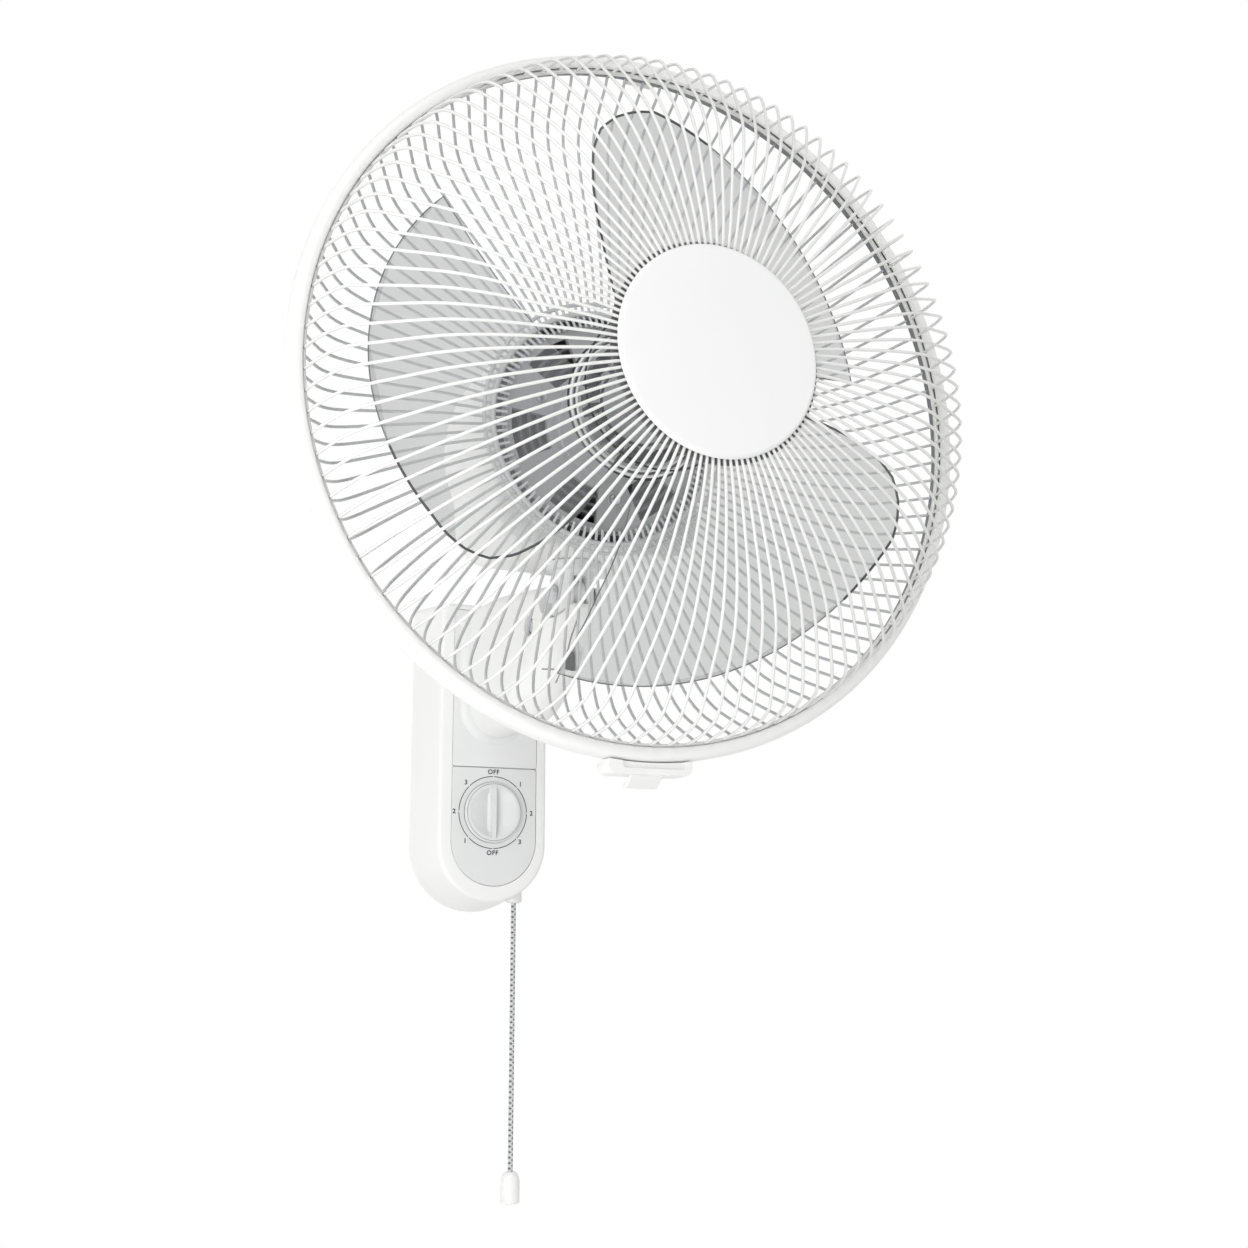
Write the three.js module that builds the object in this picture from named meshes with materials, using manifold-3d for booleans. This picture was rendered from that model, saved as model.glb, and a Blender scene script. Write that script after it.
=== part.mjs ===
import * as THREE from 'three';
import { mergeVertices } from 'three/addons/utils/BufferGeometryUtils.js';
import Module from 'manifold-3d';

// Wall mounted fan, millimetres, +Z up. The wall is the plane y = 0 and the fan blows toward -Y.

// ---- driving dimensions ----
const fanAxisZ = 160.8;            // height of the blade axis over the wall mount
const guardPlaneY = -263.8;        // middle plane of the guard rim
const rimRadius = 185.5;
const wireCount = 108;
const frontWireRadius = 0.85;
const rearWireRadius = 0.85;
const bladeRadius = 145;
const bladeCount = 3;
const bladeThickness = 1.8;
const baseHalfHeight = 94.8;
const baseDepth = 39.6;
const baseBackHalfWidth = 40.4;
const baseFrontHalfWidth = 34.6;
const wallThickness = 2.2;
const motorPlateRadius = 62.2;
const motorPlateY = -206.1;
const coverRadius = 66;
const coverFloorZ = 94.8;
const panAxisY = -164.5;
const tiltAxisZ = 76.7;
const capRadius = 52.3;
const knobRadius = 18.5;
const knobArcRise = 19.2;         // knob centre over the centre of the base's round end
const cordX = 19.7;
const cordY = -24.7;
const cordLength = 158.5;          // from the bush to the pull
const cordRadius = 1.5;
const gap = 0.3;                   // clearance between fitted pieces
const runGap = 0.3;                // clearance of a bore round its shaft

// ---- solid helpers ----
const wasm = await Module();
wasm.setup();

function toSolid(source) {
  const bare = new THREE.BufferGeometry();
  bare.setAttribute('position', source.getAttribute('position').clone());
  if (source.index) {
    bare.setIndex(source.index.clone());
  }
  const merged = mergeVertices(bare, 1e-4);
  const position = merged.getAttribute('position');
  const corners = [];
  let volume = 0;
  const a = new THREE.Vector3();
  const b = new THREE.Vector3();
  const c = new THREE.Vector3();
  for (let i = 0; i < merged.index.count; i += 3) {
    const [p, q, r] = [merged.index.getX(i), merged.index.getX(i + 1), merged.index.getX(i + 2)];
    if (p === q || q === r || r === p) {
      continue;
    }
    corners.push(p, q, r);
    a.fromBufferAttribute(position, p);
    b.fromBufferAttribute(position, q);
    c.fromBufferAttribute(position, r);
    volume += a.dot(b.cross(c));
  }
  if (volume < 0) {
    for (let i = 0; i < corners.length; i += 3) {
      [corners[i + 1], corners[i + 2]] = [corners[i + 2], corners[i + 1]];
    }
  }
  const mesh = new wasm.Mesh({
    numProp: 3,
    vertProperties: new Float32Array(position.array),
    triVerts: new Uint32Array(corners),
  });
  return new wasm.Manifold(mesh);
}

// joins many solids pairwise
function joinAll(solids) {
  let list = solids;
  while (list.length > 1) {
    const next = [];
    for (let i = 0; i < list.length; i += 2) {
      next.push(i + 1 < list.length ? list[i].add(list[i + 1]) : list[i]);
    }
    list = next;
  }
  return list[0];
}

const alongX = new THREE.Matrix4().makeBasis(
  new THREE.Vector3(0, 1, 0), new THREE.Vector3(0, 0, 1), new THREE.Vector3(1, 0, 0));
const alongMinusY = new THREE.Matrix4().makeBasis(
  new THREE.Vector3(1, 0, 0), new THREE.Vector3(0, 0, 1), new THREE.Vector3(0, -1, 0));

function extrude(shape, depth, curveSegments) {
  return new THREE.ExtrudeGeometry(shape, { depth, bevelEnabled: false, curveSegments });
}

// shape (x, z) between two values of y
function slabY(shape, yFront, yBack, curveSegments = 4) {
  const geometry = extrude(shape, yBack - yFront, curveSegments);
  geometry.applyMatrix4(alongMinusY);
  geometry.translate(0, yBack, 0);
  return toSolid(geometry);
}

// shape (y, z) between two values of x
function slabX(shape, xLow, xHigh, curveSegments = 3) {
  const geometry = extrude(shape, xHigh - xLow, curveSegments);
  geometry.applyMatrix4(alongX);
  geometry.translate(xLow, 0, 0);
  return toSolid(geometry);
}

// shape (x, y) between two values of z
function slabZ(shape, zLow, zHigh, curveSegments = 4) {
  const geometry = extrude(shape, zHigh - zLow, curveSegments);
  geometry.translate(0, 0, zLow);
  return toSolid(geometry);
}

function circle(u, v, radius) {
  const shape = new THREE.Shape();
  shape.absarc(u, v, radius, 0, Math.PI * 2, false);
  return shape;
}

function roundedRect(uLow, uHigh, vLow, vHigh, radius) {
  const shape = new THREE.Shape();
  shape.moveTo(uLow + radius, vLow);
  shape.lineTo(uHigh - radius, vLow);
  shape.absarc(uHigh - radius, vLow + radius, radius, -Math.PI / 2, 0, false);
  shape.lineTo(uHigh, vHigh - radius);
  shape.absarc(uHigh - radius, vHigh - radius, radius, 0, Math.PI / 2, false);
  shape.lineTo(uLow + radius, vHigh);
  shape.absarc(uLow + radius, vHigh - radius, radius, Math.PI / 2, Math.PI, false);
  shape.lineTo(uLow, vLow + radius);
  shape.absarc(uLow + radius, vLow + radius, radius, Math.PI, Math.PI * 1.5, false);
  return shape;
}

// two round ends joined by straight sides
function capsule(uA, vA, uB, vB, radius) {
  const shape = new THREE.Shape();
  const angle = Math.atan2(vB - vA, uB - uA);
  shape.absarc(uA, vA, radius, angle + Math.PI / 2, angle + Math.PI * 1.5, false);
  shape.absarc(uB, vB, radius, angle - Math.PI / 2, angle + Math.PI / 2, false);
  shape.closePath();
  return shape;
}

function box(xLow, xHigh, yLow, yHigh, zLow, zHigh) {
  const geometry = new THREE.BoxGeometry(xHigh - xLow, yHigh - yLow, zHigh - zLow);
  geometry.translate((xLow + xHigh) / 2, (yLow + yHigh) / 2, (zLow + zHigh) / 2);
  return toSolid(geometry);
}

function rodX(y, z, radius, xLow, xHigh, sides = 8) {
  return slabX(circle(y, z, radius), xLow, xHigh, sides / 2);
}

function rodY(x, z, radius, yFront, yBack, sides = 12) {
  return slabY(circle(x, z, radius), yFront, yBack, sides / 2);
}

function rodZ(x, y, radius, zLow, zHigh, sides = 10) {
  return slabZ(circle(x, y, radius), zLow, zHigh, sides / 2);
}

// bores: the flats of the faceted hole, not its corners, lie at the radius
const overCorner = (radius, sides) => radius / Math.cos(Math.PI / sides);
const holeX = (y, z, radius, low, high, sides = 12) =>
  rodX(y, z, overCorner(radius, sides), low, high, sides);
const holeY = (x, z, radius, front, back, sides = 12) =>
  rodY(x, z, overCorner(radius, sides), front, back, sides);
const holeZ = (x, y, radius, low, high, sides = 12) =>
  rodZ(x, y, overCorner(radius, sides), low, high, sides);

// profile of [radius, y] turned round the fan axis
function turnFan(profile, segments = 24) {
  const points = profile.map(([radius, y]) => new THREE.Vector2(radius, y));
  if (profile[0][0] > 0) {
    points.push(points[0].clone());
  }
  const geometry = new THREE.LatheGeometry(points, segments);
  geometry.translate(0, 0, fanAxisZ);
  return toSolid(geometry);
}

// profile of [radius, z] turned round an upright line
function turnUp(profile, x, y, segments = 16) {
  const points = profile.map(([radius, z]) => new THREE.Vector2(radius, z));
  if (profile[0][0] > 0) {
    points.push(points[0].clone());
  }
  const geometry = new THREE.LatheGeometry(points, segments);
  geometry.rotateX(Math.PI / 2);
  geometry.translate(x, y, 0);
  return toSolid(geometry);
}

// closed skin over equal rings of points
function loft(rings) {
  const count = rings[0].length;
  const positions = [];
  const index = [];
  for (const ring of rings) {
    for (const point of ring) {
      positions.push(...point);
    }
  }
  for (let i = 0; i + 1 < rings.length; i += 1) {
    for (let j = 0; j < count; j += 1) {
      const p = i * count + j;
      const q = i * count + ((j + 1) % count);
      index.push(p, q, p + count, q, q + count, p + count);
    }
  }
  const last = (rings.length - 1) * count;
  const flat = (start, reverse) => {
    if (count === 3) {
      index.push(start, ...(reverse ? [start + 2, start + 1] : [start + 1, start + 2]));
      return;
    }
    const centre = positions.length / 3;
    const sum = [0, 0, 0];
    for (let j = 0; j < count; j += 1) {
      for (let k = 0; k < 3; k += 1) {
        sum[k] += positions[(start + j) * 3 + k] / count;
      }
    }
    positions.push(...sum);
    for (let j = 0; j < count; j += 1) {
      const p = start + j;
      const q = start + ((j + 1) % count);
      index.push(centre, ...(reverse ? [q, p] : [p, q]));
    }
  };
  flat(0, true);
  flat(last, false);
  const geometry = new THREE.BufferGeometry();
  geometry.setAttribute('position', new THREE.Float32BufferAttribute(positions, 3));
  geometry.setIndex(index);
  return toSolid(geometry);
}

// wire of a few flat sides along a line of points
function wire(points, radius, sides) {
  const line = points.map((point) => new THREE.Vector3(...point));
  const side = new THREE.Vector3();
  const out = new THREE.Vector3();
  const rings = line.map((point, i) => {
    const before = line[Math.max(i - 1, 0)];
    const after = line[Math.min(i + 1, line.length - 1)];
    const along = after.clone().sub(before).normalize();
    const middle = line[Math.floor(line.length / 2)];
    side.set(-(middle.z - fanAxisZ), 0, middle.x).normalize();
    out.crossVectors(along, side).normalize();
    const across = new THREE.Vector3().crossVectors(out, along);
    const ring = [];
    for (let k = 0; k < sides; k += 1) {
      const turn = (k / sides) * Math.PI * 2 + Math.PI / 6;
      const spot = point.clone().addScaledVector(across, Math.cos(turn) * radius);
      spot.addScaledVector(out, Math.sin(turn) * radius);
      ring.push([spot.x, spot.y, spot.z]);
    }
    return ring;
  });
  return loft(rings);
}

function between(table, value) {
  for (let i = 0; i + 1 < table.length; i += 1) {
    const [x0, y0] = table[i];
    const [x1, y1] = table[i + 1];
    if (value <= x1 || i + 2 === table.length) {
      return y0 + ((y1 - y0) * (value - x0)) / (x1 - x0);
    }
  }
  return 0;
}

// ---- materials ----
function material(name, color, roughness, metalness) {
  const made = new THREE.MeshStandardMaterial({ color, roughness, metalness });
  made.name = name;
  return made;
}
const whitePlastic = material('white_plastic', 0xf4f4f2, 0.35, 0);
const greyPlastic = material('grey_plastic', 0xb4b6b8, 0.45, 0);
const paleGrey = material('pale_grey_plastic', 0xe2e3e4, 0.4, 0);
const bladePlastic = material('blade_plastic', 0xc9cdd1, 0.2, 0);
const whiteWire = material('coated_wire', 0xf0f0ee, 0.35, 0.1);
const greyWire = material('grey_wire', 0xb9babb, 0.4, 0.1);
const platePaint = material('plate_paint', 0xa9abad, 0.5, 0.4);
const steel = material('steel', 0xc4c6c8, 0.3, 0.9);
const bronze = material('bronze', 0xa8763e, 0.4, 0.8);
const darkPlastic = material('dark_plastic', 0x2b2c2e, 0.6, 0);
const braid = material('grey_braid', 0x8f9194, 0.9, 0);

const group = new THREE.Group();

function addNode(name, solid, surface) {
  const made = solid.getMesh();
  const geometry = new THREE.BufferGeometry();
  const count = made.vertProperties.length / made.numProp;
  const positions = new Float32Array(count * 3);
  for (let i = 0; i < count; i += 1) {
    for (let k = 0; k < 3; k += 1) {
      positions[i * 3 + k] = made.vertProperties[i * made.numProp + k];
    }
  }
  geometry.setAttribute('position', new THREE.BufferAttribute(positions, 3));
  geometry.setIndex(new THREE.BufferAttribute(new Uint32Array(made.triVerts), 1));
  geometry.computeVertexNormals();
  const mesh = new THREE.Mesh(geometry, surface);
  mesh.name = name;
  group.add(mesh);
}

// ---- base on the wall ----
const baseTaper = (baseBackHalfWidth - baseFrontHalfWidth) / baseDepth;
const baseTopDrop = 2;
const baseArcZ = baseBackHalfWidth - baseHalfHeight;
const baseFrontY = -baseDepth;
const knobZ = baseArcZ + knobArcRise;
const frontWall = wallThickness + 1;
const fasciaDepth = 1.5;

// outline ring at one depth, set in by some amount
function baseRing(y, inset) {
  const half = baseBackHalfWidth + y * baseTaper - inset;
  const top = baseHalfHeight + (y / baseDepth) * baseTopDrop - inset;
  const corner = Math.max(4 - inset, 1.2);
  const ring = [];
  for (let i = 0; i <= 10; i += 1) {
    const turn = Math.PI + (i / 10) * Math.PI;
    ring.push([half * Math.cos(turn), y, baseArcZ + half * Math.sin(turn)]);
  }
  for (const side of [1, -1]) {
    for (let i = 0; i <= 2; i += 1) {
      const turn = (i / 2) * (Math.PI / 2) + (side > 0 ? 0 : Math.PI / 2);
      const x = side * (half - corner) + corner * Math.cos(turn);
      ring.push([x, y, top - corner + corner * Math.sin(turn)]);
    }
  }
  return ring;
}

function shapeOf(ring) {
  const shape = new THREE.Shape();
  shape.moveTo(ring[0][0], ring[0][2]);
  for (const point of ring.slice(1)) {
    shape.lineTo(point[0], point[2]);
  }
  return shape;
}

// section of the arm at one depth: round below, softened corners above
function armRing(y, low, high, half, corner) {
  const tall = high - low;
  const round = Math.min(half, tall * 0.5);
  const soft = Math.min(corner, tall * 0.3, half * 0.5);
  const ring = [];
  for (let i = 0; i <= 12; i += 1) {
    const turn = Math.PI + (i / 12) * Math.PI;
    ring.push([half * Math.cos(turn), y, low + round + round * Math.sin(turn)]);
  }
  for (const side of [1, -1]) {
    for (let i = 0; i <= 3; i += 1) {
      const turn = (i / 3) * (Math.PI / 2) + (side > 0 ? 0 : Math.PI / 2);
      ring.push([
        side * (half - soft) + soft * Math.cos(turn), y, high - soft + soft * Math.sin(turn)]);
    }
  }
  return ring;
}

const plateInset = wallThickness + gap;
const plateDepth = 2;
const keyholeX = 0;
const keyholeZ = baseHalfHeight - 36.8;
const keyholeRadius = 4.5;
const cableHoleZ = knobZ - 4.8;
const cableHoleRadius = 9;
let wallPlate = slabY(shapeOf(baseRing(0, plateInset + plateDepth * baseTaper)), -plateDepth, 0);
for (const z of [keyholeZ, -keyholeZ - 10]) {
  wallPlate = wallPlate.subtract(holeY(keyholeX, z, keyholeRadius, -plateDepth - 1, 1));
  const slot = roundedRect(keyholeX - 2.2, keyholeX + 2.2, z, z + 11, 2);
  wallPlate = wallPlate.subtract(slabY(slot, -plateDepth - 1, 1));
}
wallPlate = wallPlate.subtract(holeY(18, cableHoleZ, cableHoleRadius, -plateDepth - 1, 1));
addNode('wall_plate', wallPlate, steel);

// arm values used by the housing opening
const armHalfWidth = 18.5;
const armLowZ = 10.7;
const armHighZ = 89.5;
const armCorner = 7;
const fasciaLowX = -26.8;
const fasciaHighX = 28.3;
const fasciaTopZ = baseHalfHeight - 5.6;
const plateTopZ = knobZ + 27.4;
const plateArcZ = baseArcZ + 2;

let housing = loft([baseRing(0, 0), baseRing(baseFrontY + 1.2, 0), baseRing(baseFrontY, 1.2)]);
const innerFront = baseFrontY + frontWall;
housing = housing.subtract(loft([baseRing(1, wallThickness), baseRing(innerFront, wallThickness)]));
const armHole = (grow) => shapeOf(
  armRing(0, armLowZ - grow, armHighZ + grow, armHalfWidth + grow, armCorner + grow));
const stripHole = roundedRect(fasciaLowX, fasciaHighX, plateTopZ, fasciaTopZ + gap, 1);
housing = housing.subtract(slabY(stripHole, baseFrontY - 1, baseFrontY + fasciaDepth + gap));
function controlShape(inset) {
  const shape = new THREE.Shape();
  const centre = (fasciaLowX + fasciaHighX) / 2;
  const radius = (fasciaHighX - fasciaLowX) / 2 - inset;
  shape.moveTo(fasciaHighX - inset, plateTopZ - (inset > 0 ? gap : 0));
  shape.lineTo(fasciaLowX + inset, plateTopZ - (inset > 0 ? gap : 0));
  shape.absarc(centre, plateArcZ, radius, Math.PI, Math.PI * 2, false);
  shape.closePath();
  return shape;
}
housing = housing.subtract(slabY(controlShape(0), baseFrontY - 1, baseFrontY + fasciaDepth + gap, 16));
housing = housing.subtract(slabY(armHole(gap), baseFrontY - 1, innerFront + 1));
const knobBodyRadius = knobRadius - 2.2;
const knobBoreRadius = knobBodyRadius + gap;
const shaftRadius = 3;
housing = housing.subtract(holeY(0, knobZ, knobBoreRadius, baseFrontY - 1, innerFront + 1, 32));
const bushRadius = 5;
housing = housing.subtract(holeZ(cordX, cordY, bushRadius + gap, -baseHalfHeight, -70));
addNode('base_housing', housing, whitePlastic);

const stripShape = roundedRect(
  fasciaLowX + gap, fasciaHighX - gap, plateTopZ + gap, fasciaTopZ, 1);
let fascia = slabY(stripShape, baseFrontY, baseFrontY + fasciaDepth);
fascia = fascia.subtract(slabY(armHole(gap), baseFrontY - 1, 0));
addNode('fascia_strip', fascia, paleGrey);

let control = slabY(controlShape(gap), baseFrontY, baseFrontY + fasciaDepth, 16);
control = control.subtract(holeY(0, knobZ, knobBoreRadius, baseFrontY - 1, 0, 32));
addNode('control_plate', control, paleGrey);

// ---- speed switch and pull cord ----
const switchHalf = 15;
const knobBodyY = baseFrontY + 7.5;
const switchFrontY = knobBodyY + gap;
const switchBackY = -16;
const leverTravel = 20;
const leverTopZ = knobZ - 8.8;
const leverLowZ = leverTopZ - 6;
let switchBox = box(-switchHalf, switchHalf, switchFrontY, switchBackY, knobZ - 17, knobZ + 17);
const railLowZ = leverLowZ - leverTravel;
switchBox = switchBox.add(box(switchHalf - 6, switchHalf, cordY - 5, cordY + 5, railLowZ, knobZ));
switchBox = switchBox.subtract(holeY(0, knobZ, shaftRadius + runGap, switchFrontY - 1, switchBackY + 1));
addNode('rotary_switch', switchBox, darkPlastic);

const ratchetFrontY = switchBackY + gap;
const knobBackY = baseFrontY - gap;
const knobFrontY = knobBackY - 2;
const scoopDepth = 5.4;
const shaftFrontY = knobFrontY + scoopDepth + 1.2;
const ratchetY = ratchetFrontY + 2.5;
let shaft = rodY(0, knobZ, shaftRadius, shaftFrontY, ratchetY + 2);
let ratchet = rodY(0, knobZ, 10, ratchetFrontY, ratchetY, 16);
for (let i = 0; i < 8; i += 1) {
  const turn = (i / 8) * Math.PI * 2;
  const notchX = 10.6 * Math.cos(turn);
  const notchZ = knobZ + 10.6 * Math.sin(turn);
  ratchet = ratchet.subtract(holeY(notchX, notchZ, 2, ratchetFrontY - 1, ratchetY + 1, 6));
}
shaft = shaft.add(ratchet);
addNode('switch_shaft', shaft, steel);

const knobTurn = (profile) => {
  const points = profile.map(([radius, y]) => new THREE.Vector2(radius, y));
  const geometry = new THREE.LatheGeometry(points, 24);
  geometry.translate(0, 0, knobZ);
  return toSolid(geometry);
};
const ridgeHalf = 1.65;
const ridgeReach = 15.25;
let knob = knobTurn([
  [0, knobBodyY], [knobBodyRadius, knobBodyY], [knobBodyRadius, knobBackY],
  [knobRadius, knobBackY], [knobRadius, knobFrontY + 1], [knobRadius - 0.9, knobFrontY],
  [0, knobFrontY]]);
for (const side of [1, -1]) {
  const half = new THREE.Shape();
  const start = Math.asin(ridgeHalf / ridgeReach);
  if (side > 0) {
    half.absarc(0, knobZ, ridgeReach, -Math.PI / 2 + start, Math.PI / 2 - start, false);
  } else {
    half.absarc(0, knobZ, ridgeReach, Math.PI / 2 + start, Math.PI * 1.5 - start, false);
  }
  half.closePath();
  knob = knob.subtract(slabY(half, knobFrontY - 1, knobFrontY + scoopDepth, 8));
}
knob = knob.subtract(holeY(0, knobZ, shaftRadius + 0.1, shaftFrontY - 0.2, knobBodyY + 1));
addNode('speed_knob', knob, paleGrey);

const baseHalfAt = (y) => baseBackHalfWidth + y * baseTaper;
const baseUnderAt = (x, y) => baseArcZ - Math.sqrt(baseHalfAt(y) ** 2 - x ** 2);
const bushTopZ = baseUnderAt(cordX - bushRadius, cordY) + wallThickness + 6;
const bushLowZ = baseUnderAt(cordX - bushRadius, cordY) - 1.5;
const cordBore = cordRadius + 0.5;
let bush = rodZ(cordX, cordY, bushRadius, bushLowZ, bushTopZ);
bush = bush.subtract(holeZ(cordX, cordY, cordBore, bushLowZ - 1, bushTopZ + 1, 12));
addNode('cord_bush', bush, whitePlastic);

let lever = box(switchHalf + gap, cordX + 4, cordY - 4, cordY + 4, leverLowZ, leverTopZ);
lever = lever.subtract(holeZ(cordX, cordY, cordRadius + 0.1, leverLowZ - 1, leverLowZ + 3, 12));
addNode('pull_lever', lever, darkPlastic);

const cordStartZ = baseArcZ - 36.9;
const cordEndZ = cordStartZ - cordLength;
const cordTopZ = leverLowZ + 2.7;
const cordSteps = 16;
const cordPath = new THREE.LineCurve3(
  new THREE.Vector3(cordX, cordY, cordTopZ), new THREE.Vector3(cordX, cordY, cordEndZ));
const cordGeometry = new THREE.ExtrudeGeometry(circle(0, 0, cordRadius), {
  steps: cordSteps, curveSegments: 4, bevelEnabled: false, extrudePath: cordPath });
addNode('pull_cord', toSolid(cordGeometry), braid);

const pullRadius = 5.75;
const pullHeight = 16.6;
const pullTopZ = cordEndZ + 1.6;
const pullLowZ = cordEndZ - pullHeight;
let pull = turnUp([
  [0, pullLowZ], [pullRadius - 0.8, pullLowZ], [pullRadius, pullLowZ + 0.8],
  [pullRadius, pullLowZ + 12], [pullRadius - 0.7, pullLowZ + 14.5],
  [pullRadius - 2.4, pullTopZ - 0.6], [cordRadius + 1, pullTopZ], [0, pullTopZ]], cordX, cordY);
pull = pull.subtract(holeZ(cordX, cordY, cordRadius + 0.1, cordEndZ - 0.3, pullTopZ + 1, 16));
addNode('cord_pull', pull, whitePlastic);

const inCaseY = -plateDepth - gap;
addNode('capacitor', box(-32, -14, inCaseY - 13, inCaseY, -16, 8), darkPlastic);
const terminalZ = baseArcZ - 16.6;
let terminals = box(-12, 14, inCaseY - 10, inCaseY, terminalZ - 5, terminalZ + 5);
for (const x of [-8, 0, 8]) {
  terminals = terminals.subtract(holeY(x + 1, terminalZ, 1.8, inCaseY - 11, inCaseY - 5, 12));
}
addNode('terminal_block', terminals, paleGrey);

// ---- arm ----
const armSteps = [
  [innerFront + gap + 1, armLowZ, armHighZ, 18.5], [-58, 10.6, 89.8, 18.5], [-90, 10.8, 89.3, 18.3],
  [-106, 12.4, 88, 17.9], [-122, 19.2, 86.4, 17.2], [-148, 36.8, 83.8, 15.6],
  [-156, 45, 82.5, 14.8], [-163, 54.4, 80.5, 13.8], [-170, 61, 77, 12.4], [-176.2, 68, 71.5, 8]];
let arm = loft(armSteps.map(([y, low, high, half]) => armRing(y, low, high, half, armCorner)));
const flangeShape = roundedRect(-armHalfWidth - 4, armHalfWidth + 4, armLowZ - 4, armHighZ + 0.8, 6);
arm = arm.add(slabY(flangeShape, innerFront + gap, innerFront + gap + 2.5));
const pivotSweep = 12.8;
const tongueRadius = 8.5;
const tongueHalf = 4;
arm = arm.subtract(holeX(panAxisY, tiltAxisZ, pivotSweep, -40, 40, 24));
arm = arm.subtract(box(-40, 40, panAxisY - 30, panAxisY, tiltAxisZ, tiltAxisZ + 40));
const tongue = capsule(panAxisY, tiltAxisZ, panAxisY + 16, tiltAxisZ - 16, tongueRadius);
arm = arm.add(slabX(tongue, -tongueHalf, tongueHalf, 16));
const boltRadius = 3;
arm = arm.subtract(holeX(panAxisY, tiltAxisZ, boltRadius + runGap, -20, 20));
arm = arm.subtract(holeX(-138.5, 62.7, 6, -30, -13.6, 24));
const slotShape = roundedRect(-0.7, 0.7, 30, 60, 0.6);
arm = arm.subtract(slabY(slotShape, -170, -120, 4));
addNode('arm', arm, whitePlastic);

// ---- neck ----
const neckTopZ = coverFloorZ - gap;
const flangeLowZ = 89.9;
const flangeRadius = 15.8;
const collarRadius = 11.5;
const spindleRadius = 6;
const floorTopZ = coverFloorZ + 2.5;
const leverPlateZ = floorTopZ + gap;
const leverPlateTop = leverPlateZ + 2;
const collarDrop = 12.2;
let yoke = rodZ(0, panAxisY, collarRadius, tiltAxisZ - collarDrop, flangeLowZ + 0.5, 28);
const yokeEnd = rodX(panAxisY, tiltAxisZ, collarDrop, -20, 20, 28);
yoke = yoke.intersect(yokeEnd.add(box(-20, 20, panAxisY - 20, panAxisY + 20, tiltAxisZ, neckTopZ)));
const slotTopZ = tiltAxisZ + tongueRadius + 0.8;
const slotHalf = tongueHalf + gap;
yoke = yoke.subtract(box(-slotHalf, slotHalf, panAxisY - 20, panAxisY + 20, 40, slotTopZ));
yoke = yoke.add(turnUp([
  [0, slotTopZ + 0.5], [collarRadius - 0.2, slotTopZ + 0.5], [collarRadius - 0.2, flangeLowZ],
  [flangeRadius, flangeLowZ], [flangeRadius, neckTopZ], [spindleRadius, neckTopZ],
  [spindleRadius, leverPlateTop], [0, leverPlateTop]], 0, panAxisY, 40));
yoke = yoke.subtract(holeX(panAxisY, tiltAxisZ, boltRadius + runGap, -20, 20));
const screwRadius = 2;
yoke = yoke.subtract(holeZ(0, panAxisY, screwRadius + 0.2, leverPlateTop - 8, leverPlateTop + 1));
addNode('neck_yoke', yoke, greyPlastic);

const boltFaceX = collarRadius + gap;
let bolt = rodX(panAxisY, tiltAxisZ, boltRadius, -boltFaceX - 0.5, boltFaceX + 2.8);
bolt = bolt.add(rodX(panAxisY, tiltAxisZ, 5.5, -boltFaceX - 2.4, -boltFaceX, 12));
addNode('tilt_bolt', bolt, steel);
let nut = rodX(panAxisY, tiltAxisZ, 5.5, boltFaceX, boltFaceX + 3, 6);
nut = nut.subtract(holeX(panAxisY, tiltAxisZ, boltRadius + 0.15, boltFaceX - 1, boltFaceX + 4));
addNode('tilt_nut', nut, steel);

// fixed lever on the spindle, its stub meets the drive link
const stubReach = 14;
const stubTop = leverPlateTop + 1.5;
const stubY = panAxisY + stubReach;
const leverShape = capsule(0, panAxisY, 0, stubY, 4.5);
let spindleLever = slabZ(leverShape, leverPlateZ, leverPlateTop, 4);
spindleLever = spindleLever.add(rodZ(0, panAxisY, 10, leverPlateZ, leverPlateTop, 14));
const spindleBore = holeZ(0, panAxisY, spindleRadius + 0.15, leverPlateZ - 1, leverPlateTop + 1);
spindleLever = spindleLever.subtract(spindleBore);
spindleLever = spindleLever.add(rodZ(0, stubY, 2.5, leverPlateTop - 0.5, stubTop, 16));
addNode('spindle_lever', spindleLever, steel);

const screwHeadZ = leverPlateTop + gap;
let spindleScrew = rodZ(0, panAxisY, 7.5, screwHeadZ, screwHeadZ + 2, 14);
spindleScrew = spindleScrew.add(rodZ(0, panAxisY, screwRadius, leverPlateTop - 7.5, screwHeadZ + 1));
addNode('spindle_screw', spindleScrew, steel);

// ---- motor case ----
const coverWall = 2.5;
const coverRimY = motorPlateY - gap;
const ledgeY = motorPlateY + 3 + gap;
const plateBore = motorPlateRadius + gap;
const domeFar = 108;
const domeStart = coverRimY + 66;
function domeProfile(inset, front) {
  const profile = [[0, front], [coverRadius - inset, front]];
  for (let i = 0; i <= 4; i += 1) {
    const turn = (i / 4) * (Math.PI / 2);
    const radius = (coverRadius - inset) * Math.cos(turn) ** 0.55;
    profile.push([i === 4 ? 0 : radius, domeStart + (domeFar - 66 - inset) * Math.sin(turn)]);
  }
  return profile;
}
const skirtHalf = 59;
const skirtCorner = 20;
const skirtFrontY = coverRimY + 3.4;
const skirtBackY = -126;
const skirt = (inset) => roundedRect(
  -skirtHalf + inset, skirtHalf - inset, coverFloorZ + inset, fanAxisZ, skirtCorner - inset);
let cover = turnFan(domeProfile(0, coverRimY), 24);
cover = cover.add(slabY(skirt(0), skirtFrontY, skirtBackY, 8));
cover = cover.subtract(turnFan([
  [0, coverRimY - 1], [plateBore, coverRimY - 1], [plateBore, ledgeY],
  [plateBore - 1.5, ledgeY], [plateBore - 1.5, ledgeY + 3], [0, ledgeY + 3]], 64));
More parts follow.
